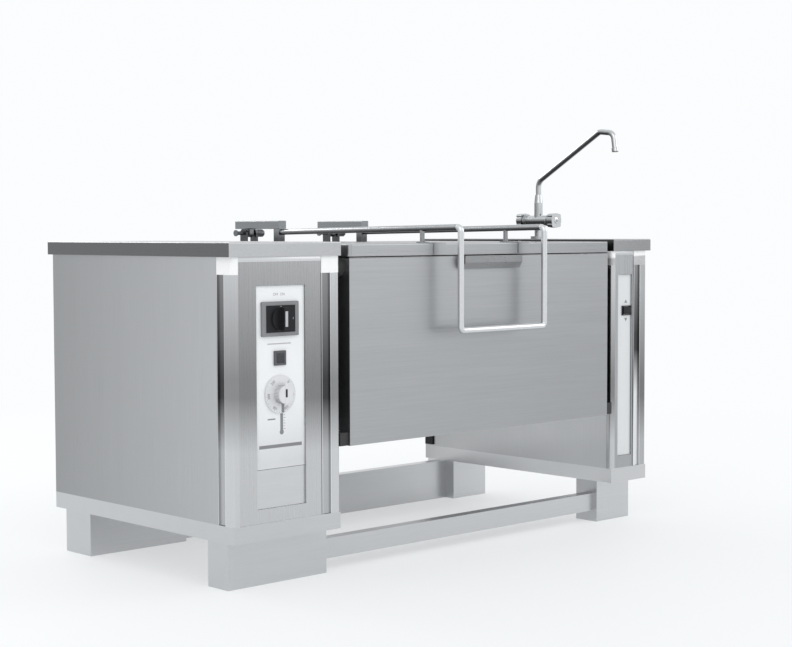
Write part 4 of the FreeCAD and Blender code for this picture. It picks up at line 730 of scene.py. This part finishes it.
switchLook = {"wide": 0.096, "tall": 0.070, "proud": 0.0014, "sunk": 0.0002, "hole": 0.0318, "spokes": 72,
              "gripWide": 0.0085, "gripTall": 0.040, "gripProud": 0.0007, "gripSunk": 0.0004,
              "markSize": 0.0080, "markDepth": 0.00012, "zeroDown": 0.0048, "oneIn": 0.0070, "ribs": 44,
              "ribFrom": (-0.0006, -0.0052, -0.0005), "ribTo": (0.0006, -0.0016, 0.0004)}


def squareRim(middle, halfWide, halfTall, angles):
    rim = []
    for angle in angles:
        across, up = math.cos(angle), math.sin(angle)
        reach = min(halfWide / max(abs(across), 1e-9), halfTall / max(abs(up), 1e-9))
        rim.append((middle.x + reach * across, middle.z + reach * up))
    return rim


def buildSwitch():
    middle = middleOf("switch_plate")
    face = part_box("switch_plate")[0].y
    halfWide, halfTall = switchLook["wide"] / 2, switchLook["tall"] / 2
    corner = math.atan2(halfTall, halfWide)
    evenly = [2 * math.pi * step / switchLook["spokes"] for step in range(switchLook["spokes"])]
    corners = [angle % (2 * math.pi) for angle in (corner, math.pi - corner, math.pi + corner, -corner)]
    angles = sorted(set(evenly + corners))
    hole = [(middle.x + switchLook["hole"] * math.cos(angle), middle.z + switchLook["hole"] * math.sin(angle))
            for angle in angles]
    rim = squareRim(middle, halfWide, halfTall, angles)
    front = face - switchLook["proud"]
    plate = flatMesh("switchEscutcheon", rim, face + switchLook["sunk"], front, hole)
    settle("switchEscutcheon", plate, "mouldedBlack", "base")
    knobLow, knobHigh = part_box("switch_knob")
    half = Vector((switchLook["gripWide"] / 2, 0, switchLook["gripTall"] / 2))
    proud, sunk = switchLook["gripProud"], switchLook["gripSunk"]
    grip = slabMesh("switchGripInset", (middle.x - half.x, knobLow.y - proud, middle.z - half.z),
                    (middle.x + half.x, knobLow.y + sunk, middle.z + half.z), 0.0005)
    settle("switchGripInset", grip, "gripGrey", "main_switch")
    collar = (knobHigh.x - knobLow.x) / 2
    ribs = ribRing("switchRib", switchLook, middle, collar - 0.0001, face)
    settle("switchKnurl", ribs, "mouldedBlack", "main_switch")
    drawn = []
    for words, across, up in (("0", 0.0, halfTall - switchLook["zeroDown"]),
                              ("I", halfWide - switchLook["oneIn"], 0.0)):
        mark = textMesh("switchMark", words, switchLook["markSize"], switchLook["markDepth"])
        spot = (middle.x + across, front - switchLook["markDepth"] / 2, middle.z + up)
        drawn.append(movedMesh(mark, spot))
    settle("switchMarks", drawn, "printedPale", "base")


# printed marks on the white plate

printLook = {"wordSize": 0.0100, "wordUp": 0.018, "depth": 0.00008, "sunk": 0.0001, "lineWide": 0.078,
             "lineTall": 0.0034, "lineDown": 0.0215, "stemIn": 0.002, "stemWide": 0.0095, "stemLong": 0.046,
             "ticks": 6, "tickStep": 0.0072, "tickDown": 0.0046, "tickTall": 0.0014, "tickFrom": 0.0020,
             "tickTo": 0.0060, "tickMore": 0.002, "pointerFrom": (0.042, 0.0160),
             "pointerTo": (0.016, 0.0125), "bulb": 0.0068, "ruleIn": 0.010, "ruleUp": 0.053,
             "ruleTall": 0.009}


def printedBars(name, bars, face, finish):
    made = [slabMesh(name, (left, face - printLook["depth"], bottom), (right, face + printLook["sunk"], top),
                     0.00003, 1) for left, right, bottom, top in bars]
    settle(name, made, finish, "base")


def buildPlatePrint():
    low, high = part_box("switch_plate")
    middle = middleOf("switch_plate")
    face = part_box("control_plate")[0].y
    words = movedMesh(textMesh("switchWords", "OFF  ON", printLook["wordSize"], printLook["depth"]),
                      (middle.x, face, high.z + printLook["wordUp"]))
    settle("switchWords", words, "printedGrey", "base")
    half = printLook["lineWide"] / 2
    line = low.z - printLook["lineDown"]
    bars = [(middle.x - half, middle.x + half, line, line + printLook["lineTall"])]
    printedBars("switchUnderline", bars, face, "printedFaint")
    plateLow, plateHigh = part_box("control_plate")
    rule = plateLow.z + printLook["ruleUp"]
    bars = [(plateLow.x + printLook["ruleIn"], plateHigh.x - printLook["ruleIn"], rule,
             rule + printLook["ruleTall"])]
    printedBars("plateRule", bars, face, "printedGrey")
    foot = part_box("thermostat_dial")[0].z
    left = middle.x + printLook["stemIn"]
    right = left + printLook["stemWide"]
    bars = [(left, right, foot - printLook["stemLong"], foot)]
    for step in range(printLook["ticks"]):
        height = foot - printLook["tickDown"] - printLook["tickStep"] * step
        end = right + printLook["tickTo"] + printLook["tickMore"] * (step % 2)
        bars.append((right + printLook["tickFrom"], end, height - printLook["tickTall"], height))
    bars.append((left - printLook["pointerFrom"][0], left - printLook["pointerTo"][0],
                 foot - printLook["pointerFrom"][1], foot - printLook["pointerTo"][1]))
    printedBars("heatScale", bars, face, "printedGrey")
    radius, sunk = printLook["bulb"], printLook["sunk"]
    bulb = turnedMesh("heatBulb", [(0, sunk), (radius, sunk), (radius, -sunk)], 32)
    spot = ((left + right) / 2, face, foot - printLook["stemLong"] - radius / 2)
    settle("heatBulb", movedMesh(bulb, spot, (0, -1, 0)), "printedGrey", "base")


# thermostat: numbers round the skirt, a white cap and a black pointer

dialLook = {"numbers": ("0", "50", "100", "150", "200", "250"), "firstAngle": 40.0, "step": 56.0,
            "ticks": 25, "numberOut": 0.0400, "numberSize": 0.0100, "tickOut": 0.0470,
            "tickHalf": (0.0003, 0.0001, 0.0012), "depth": 0.0001, "markWide": 0.0062, "markTall": 0.0210,
            "markDown": 0.0460, "markProud": 0.0005, "markSunk": 0.0003, "skirt": 0.0055, "hubReach": 0.0220,
            "hub": 0.0240, "ridge": 0.0040, "ribs": 40, "ribFrom": (-0.0007, -0.0205, -0.0004),
            "ribTo": (0.0007, -0.0008, 0.0006), "capWide": 0.0175, "capTall": 0.0215, "capProud": 0.0010,
            "capSunk": 0.0002, "stripeEnd": 0.0485}


def buildDial():
    low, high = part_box("thermostat_dial")
    centre = middleOf("thermostat_dial")
    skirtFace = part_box("control_plate")[0].y - dialLook["skirt"]
    hubFace = skirtFace - dialLook["hubReach"]
    drawn = []
    for index, words in enumerate(dialLook["numbers"]):
        turn = math.radians(dialLook["firstAngle"] + index * dialLook["step"])
        number = textMesh("dialNumber", words, dialLook["numberSize"], dialLook["depth"])
        drawn.append(roundPlaced(number, centre, dialLook["numberOut"], turn, skirtFace))
    tickHalf = Vector(dialLook["tickHalf"])
    for index in range(dialLook["ticks"] + 1):
        turn = math.radians(dialLook["firstAngle"] + index * dialLook["step"] / 5)
        tick = slabMesh("dialTick", -tickHalf, tickHalf, 0.00003, 1)
        drawn.append(roundPlaced(tick, centre, dialLook["tickOut"], turn, skirtFace))
    settle("dialNumbers", drawn, "printedBlack", "thermostat")
    left, depth = centre.x + printLook["stemIn"], dialLook["depth"]
    right = left + printLook["stemWide"]
    stripe = slabMesh("dialIndex", (left, skirtFace - depth, centre.z - dialLook["stripeEnd"]),
                      (right, skirtFace + depth, centre.z - dialLook["hub"]), 0.00003, 1)
    settle("dialIndex", stripe, "printedGrey", "thermostat")
    ridge, wide, tall = dialLook["ridge"], dialLook["capWide"], dialLook["capTall"]
    for name, side in (("dialCapLeft", -1), ("dialCapRight", 1)):  # a half cap on each side of the ridge
        outline = [(centre.x + side * (ridge + wide * math.sin(math.pi * step / 20)),
                    centre.z + tall * math.cos(math.pi * step / 20)) for step in range(21)]
        cap = flatMesh(name, outline, hubFace + dialLook["capSunk"], hubFace - dialLook["capProud"])
        settle(name, cap, "dialGrey", "thermostat")
    ridgeTop = Vector((centre.x, low.y, high.z - dialLook["markDown"]))
    half = Vector((dialLook["markWide"] / 2, 0, dialLook["markTall"] / 2))
    mark = slabMesh("dialPointer", ridgeTop - half - Vector((0, dialLook["markProud"], 0)),
                    ridgeTop + half + Vector((0, dialLook["markSunk"], 0)), 0.0003, 2)
    settle("dialPointer", mark, "mouldedBlack", "thermostat")
    ribs = ribRing("dialRib", dialLook, centre, dialLook["hub"], skirtFace)
    settle("dialKnurl", ribs, "knurlGrey", "thermostat")


# signal lamp: ribbed smoked lens in its bezel

lensLook = {"side": 0.0252, "seat": 0.0025, "thick": 0.0014, "ribs": 7, "ribGap": 0.0005, "ribProud": 0.0006,
            "ribSunk": 0.0002, "ribIn": 0.0012}


def buildLens():
    low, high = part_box("indicator_lamp")
    middle = (low + high) / 2
    half = lensLook["side"] / 2
    seat = low.y + lensLook["seat"]
    front = seat - lensLook["thick"]
    parts = [slabMesh("lampLens", (middle.x - half, front, middle.z - half),
                      (middle.x + half, seat, middle.z + half), 0.0005)]
    pitch = lensLook["side"] / lensLook["ribs"]
    foot, top = middle.z - half + lensLook["ribIn"], middle.z + half - lensLook["ribIn"]
    for step in range(lensLook["ribs"]):
        left = middle.x - half + step * pitch + lensLook["ribGap"]
        right = left + pitch - 2 * lensLook["ribGap"]
        parts.append(slabMesh("lampRib", (left, front - lensLook["ribProud"], foot),
                              (right, front + lensLook["ribSunk"], top), 0.0005, 2))
    settle("signalLens", parts, "smokedLens", "base")


# tilt rocker: arrows above and below it, and grip rows on the paddle

arrowLook = {"gap": 0.009, "rise": 0.011, "half": 0.0075, "rows": 5, "pitch": 0.0036, "rowHalf": 0.012,
             "rowProud": 0.0005, "rowSunk": 0.0003, "rowUp": 0.0006}


def buildRocker():
    low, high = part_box("rocker_frame")
    middle = (low + high) / 2
    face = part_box("tilt_strip")[0].y
    for name, foot, side in (("tiltUpArrow", high.z, 1), ("tiltDownArrow", low.z, -1)):
        base = foot + side * arrowLook["gap"]
        outline = [(middle.x - arrowLook["half"], base), (middle.x + arrowLook["half"], base),
                   (middle.x, base + side * arrowLook["rise"])]
        arrow = flatMesh(name, outline, face + printLook["sunk"], face - printLook["depth"])
        settle(name, arrow, "printedGrey", "base")
    paddleLow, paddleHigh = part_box("tilt_rocker")
    first = (paddleLow.z + paddleHigh.z) / 2 - arrowLook["pitch"] * (arrowLook["rows"] - 1) / 2
    across, up = arrowLook["rowHalf"], arrowLook["rowUp"]
    fore, rear = paddleLow.y - arrowLook["rowProud"], paddleLow.y + arrowLook["rowSunk"]
    rows = []
    for step in range(arrowLook["rows"]):
        height = first + step * arrowLook["pitch"]
        rows.append(slabMesh("rockerRow", (middle.x - across, fore, height - up),
                             (middle.x + across, rear, height + up), 0.0003, 2))
    settle("rockerGrip", rows, "mouldedBlack", "tilt_button")


# weld beads where the lid's arms meet their posts

beadLook = {"armIn": 0.009, "rings": ((0.0072, 0.0011, 0.004), (0.0181, 0.0009, 0.0)), "ripples": 26,
            "ripple": 0.12}  # each ring is a radius, a thickness and a height above the lid


def buildBeads():
    armLow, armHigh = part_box("lid_arms")
    postLow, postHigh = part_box("arm_posts")
    postY = (postLow.y + postHigh.y) / 2
    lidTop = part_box("lid_shell")[1].z
    beads = []
    for arm in (armLow.x + beadLook["armIn"], armHigh.x - beadLook["armIn"]):
        for radius, thickness, up in beadLook["rings"]:
            bead = ringMesh("postBead", radius, thickness, beadLook["ripples"], beadLook["ripple"])
            beads.append(movedMesh(bead, (arm, postY, lidTop + up)))
    settle("lidWeldBeads", beads, "weldedTube", "lid")


# hexagon lock nuts on the adjustable feet

footLook = {"nut": 0.0130, "tall": 0.007, "bevel": 0.0008, "stem": 0.0081, "gap": 0.001, "reach": 0.025,
            "postHalf": 0.020}


def buildFeet():
    low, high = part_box("levelling_feet")
    tall, nut, stem, bevel = footLook["tall"], footLook["nut"], footLook["stem"], footLook["bevel"]
    profile = [(stem, 0.0), (nut * 0.93, 0.0, True), (nut, bevel, True), (nut, tall - bevel, True),
               (nut * 0.93, tall, True), (stem, tall)]
    nuts = []
    for frameNode in ("left_frame", "right_frame"):
        frameLow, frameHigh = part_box(frameNode)
        for x in (frameLow.x + footLook["postHalf"], frameHigh.x - footLook["postHalf"]):
            for y in (low.y + footLook["reach"], high.y - footLook["reach"]):
                spot = (x, y, high.z - tall - footLook["gap"])
                nuts.append(movedMesh(turnedMesh("footNut", profile), spot))
    settle("footLockNuts", nuts, "boltZinc", "base")


# tap: index caps, bonnet rings and the aerator at the spout's end; profiles are (radius, height) pairs

tapLook = {"cap": [(0, 0.0016), (0.0060, 0.0014), (0.0105, 0.0006), (0.0118, -0.0002)],
           "dot": [(0, 0.0022), (0.00385, 0.0021), (0.0055, 0.0015), (0.0055, 0.0010)],
           "mixer": 0.961, "bonnet": 0.0190, "bonnetThick": 0.0009, "bonnetIn": 0.004, "bonnetStep": 0.005,
           "bonnetRings": 3, "aerator": 0.0112, "aim": (0, -8, -54), "tipDown": 0.0682, "tipBack": 0.0089}


def buildTapTrim():
    for name, node, body, side in (("hotIndex", "hot_handle", "hot_valve", -1),
                                   ("coldIndex", "cold_handle", "cold_valve", 1)):
        low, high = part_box(node)
        centre = Vector(((low.x + high.x) / 2, low.y if side < 0 else high.y, (low.z + high.z) / 2))
        cap = turnedMesh(name + "Cap", tapLook["cap"])
        settle(name + "Cap", movedMesh(cap, centre, (0, side, 0)), "tapChrome", body)
        dot = turnedMesh(name + "Dot", tapLook["dot"], 24)
        settle(name + "Dot", movedMesh(dot, centre, (0, side, 0)), "indexGrey", body)
    low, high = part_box("tap_body")
    middle = (low + high) / 2
    rings = []
    for end, side in ((low.y, 1), (high.y, -1)):
        for step in range(tapLook["bonnetRings"]):
            ring = ringMesh("bonnetRing", tapLook["bonnet"], tapLook["bonnetThick"])
            along = end + side * (tapLook["bonnetIn"] + tapLook["bonnetStep"] * step)
            rings.append(movedMesh(ring, (middle.x, along, tapLook["mixer"]), (0, 1, 0)))
    settle("bonnetRings", rings, "tapChrome", "base")
    low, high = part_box("tap_spout")
    tip = Vector(((low.x + high.x) / 2, low.y + tapLook["tipBack"], high.z - tapLook["tipDown"]))
    outer = tapLook["aerator"]
    profile = [(outer - 0.0016, -0.0070), (outer, -0.0060), (outer, 0.0050), (outer - 0.0012, 0.0066),
               (outer - 0.0026, 0.0070), (outer - 0.0030, 0.0050), (0, 0.0048)]
    aerator = movedMesh(turnedMesh("spoutAerator", profile, 40), tip, Vector(tapLook["aim"]).normalized())
    settle("spoutAerator", aerator, "tapChrome", "spout")


# level lines pressed into the tub's rear wall

tubLook = {"lines": 5, "first": 0.060, "step": 0.032, "start": 0.30, "long": 0.050, "short": 0.028,
           "wallIn": 0.040, "proud": 0.0007, "sunk": 0.0003, "tall": 0.0018}


def buildTubMarks():
    low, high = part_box("pan_vessel")
    wall = high.y - tubLook["wallIn"]
    marks = []
    for step in range(tubLook["lines"]):
        end = tubLook["start"] + (tubLook["long"] if step % 2 == 0 else tubLook["short"])
        height = low.z + tubLook["first"] + step * tubLook["step"]
        marks.append(slabMesh("levelLine", (tubLook["start"], wall - tubLook["proud"], height),
                              (end, wall + tubLook["sunk"], height + tubLook["tall"]), 0.0003, 2))
    settle("levelLines", marks, "tubInside", "pan")


# cable gland: hexagon body and domed nut, as (radius, height) pairs

glandLook = {"body": [(0.0150, -0.0235), (0.0172, -0.0232, True), (0.0172, -0.0135, True),
                      (0.0150, -0.0130)],
             "dome": [(0.0119, -0.0118), (0.0124, -0.0100), (0.0124, -0.0040), (0.0110, -0.0006),
                      (0.0080, 0.0003)]}


def buildGland():
    low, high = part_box("cable_gland")
    centre = Vector(((low.x + high.x) / 2, high.y, (low.z + high.z) / 2))
    made = [movedMesh(turnedMesh("glandPart", profile), centre, (0, 1, 0)) for profile in glandLook.values()]
    settle("glandNuts", made, "mouldedBlack", "base")


for buildPiece in (buildScrews, buildTrim, buildSwitch, buildPlatePrint, buildDial, buildLens, buildRocker,
                   buildBeads, buildFeet, buildTapTrim, buildTubMarks, buildGland):
    buildPiece()
print("detail pieces built")


# floor, backdrop, lamps and camera

studio = {"floorColour": (0.90, 0.915, 0.92), "floorMottle": (0.88, 0.90, 0.91),
          "skyColour": (0.965, 0.98, 0.99), "floorSize": 60.0, "floorGlow": 0.55, "fadeFrom": 1.6,
          "fadeTo": 4.2,
          "room": ((0.02, (0.70, 0.71, 0.73)), (1.0, (0.74, 0.75, 0.76)), (0.45, (0.94, 0.95, 0.96)))}


def backdropRays(tree):
    rays = addNode(tree, "ShaderNodeLightPath").outputs
    seen = workOut(tree, "MAXIMUM", rays["Is Camera Ray"], rays["Is Glossy Ray"])
    return workOut(tree, "MAXIMUM", seen, rays["Is Transmission Ray"])


def buildFloor():
    half = studio["floorSize"] / 2
    corners = [(-half, -half, 0), (half, -half, 0), (half, half, 0), (-half, half, 0)]
    mesh = bpy.data.meshes.new("studioFloor")
    mesh.from_pydata(corners, [], [(0, 1, 2, 3)])
    floor = bpy.data.objects.new("studioFloor", mesh)
    scene.collection.objects.link(floor)
    finish, tree, shader = newFinish("studioFloor")
    mottle = useGroup(tree, speckle, {"Size": 3.0})
    paper = mixColours(tree, spreadValue(tree, mottle["Grit"], 0.0, 0.25), rgba(studio["floorColour"]),
                       rgba(studio["floorMottle"]))
    feed(tree, shader, {"Base Color": paper, "Roughness": 0.55, "Specular IOR Level": 0.25})
    glow = addNode(tree, "ShaderNodeEmission", {"Color": rgba(studio["skyColour"]), "Strength": 1.0})
    reach = addNode(tree, "ShaderNodeVectorMath", {0: objectSpot(tree)}, operation="LENGTH").outputs["Value"]
    fade = spreadValue(tree, reach, studio["floorGlow"], 1.0, studio["fadeFrom"], studio["fadeTo"])
    blend = addNode(tree, "ShaderNodeMixShader", {"Fac": workOut(tree, "MULTIPLY", backdropRays(tree), fade),
                                                  1: shader.outputs["BSDF"], 2: glow.outputs["Emission"]})
    feed(tree, tree.nodes["Material Output"], {"Surface": blend.outputs["Shader"]})
    mesh.materials.append(finish)


def buildRoom():
    world = bpy.data.worlds.new("studioRoom")
    world.use_nodes = True
    scene.world = world
    tree = world.node_tree
    place = addNode(tree, "ShaderNodeTexCoord")
    ramp = addNode(tree, "ShaderNodeValToRGB", {"Fac": splitOf(tree, place.outputs["Generated"])["Z"]})
    stops = ramp.color_ramp.elements
    for index, (height, colour) in enumerate(studio["room"]):
        stop = stops[index] if index < 2 else stops.new(height)
        stop.position, stop.color = height, rgba(colour)
    shown = mixColours(tree, backdropRays(tree), ramp.outputs["Color"], rgba(studio["skyColour"]))
    feed(tree, tree.nodes["Background"], {"Color": shown})


lampLooks = {
    "keyLamp": {"place": (-4.2, -3.6, 4.6), "aim": (0.0, 0.0, 0.5), "size": (7.6, 6.0), "power": 95},
    "fillLamp": {"place": (4.6, -3.8, 3.0), "aim": (0.1, 0.0, 0.5), "size": (3.6, 3.4), "power": 60},
    "backLamp": {"place": (-0.6, 5.0, 3.8), "aim": (0.0, 0.2, 0.6), "size": (4.0, 1.6), "power": 80},
}


def buildLamp(name, look):
    lamp = bpy.data.lights.new(name, "AREA")
    lamp.shape = "RECTANGLE"
    lamp.size, lamp.size_y = look["size"]
    lamp.energy = look["power"]
    holder = bpy.data.objects.new(name, lamp)
    holder.location = look["place"]
    holder.rotation_mode = "QUATERNION"
    holder.rotation_quaternion = (Vector(look["aim"]) - Vector(look["place"])).to_track_quat("-Z", "Y")
    scene.collection.objects.link(holder)


cameraLook = {"place": (-3.410, -3.760, 0.929), "azimuth": 43.35, "pitch": 3.2, "roll": -0.153, "lens": 75.56}


def buildCamera(look):
    turn, dip, roll = (math.radians(look[part]) for part in ("azimuth", "pitch", "roll"))
    forward = Vector((math.sin(turn) * math.cos(dip), math.cos(turn) * math.cos(dip), -math.sin(dip)))
    level = Vector((math.cos(turn), -math.sin(turn), 0.0))
    upright = level.cross(forward)
    right = math.cos(roll) * level + math.sin(roll) * upright
    up = -math.sin(roll) * level + math.cos(roll) * upright
    lens = bpy.data.cameras.new("photoCamera")
    lens.lens = look["lens"]
    lens.sensor_width = 36.0
    camera = bpy.data.objects.new("photoCamera", lens)
    matrix = Matrix((right, up, -forward)).transposed().to_4x4()
    matrix.translation = Vector(look["place"])
    camera.matrix_world = matrix
    scene.collection.objects.link(camera)
    scene.camera = camera


buildFloor()
buildRoom()
for lampName, lampLook in lampLooks.items():
    buildLamp(lampName, lampLook)
buildCamera(cameraLook)
scene.view_settings.view_transform = "Standard"
print("studio built")
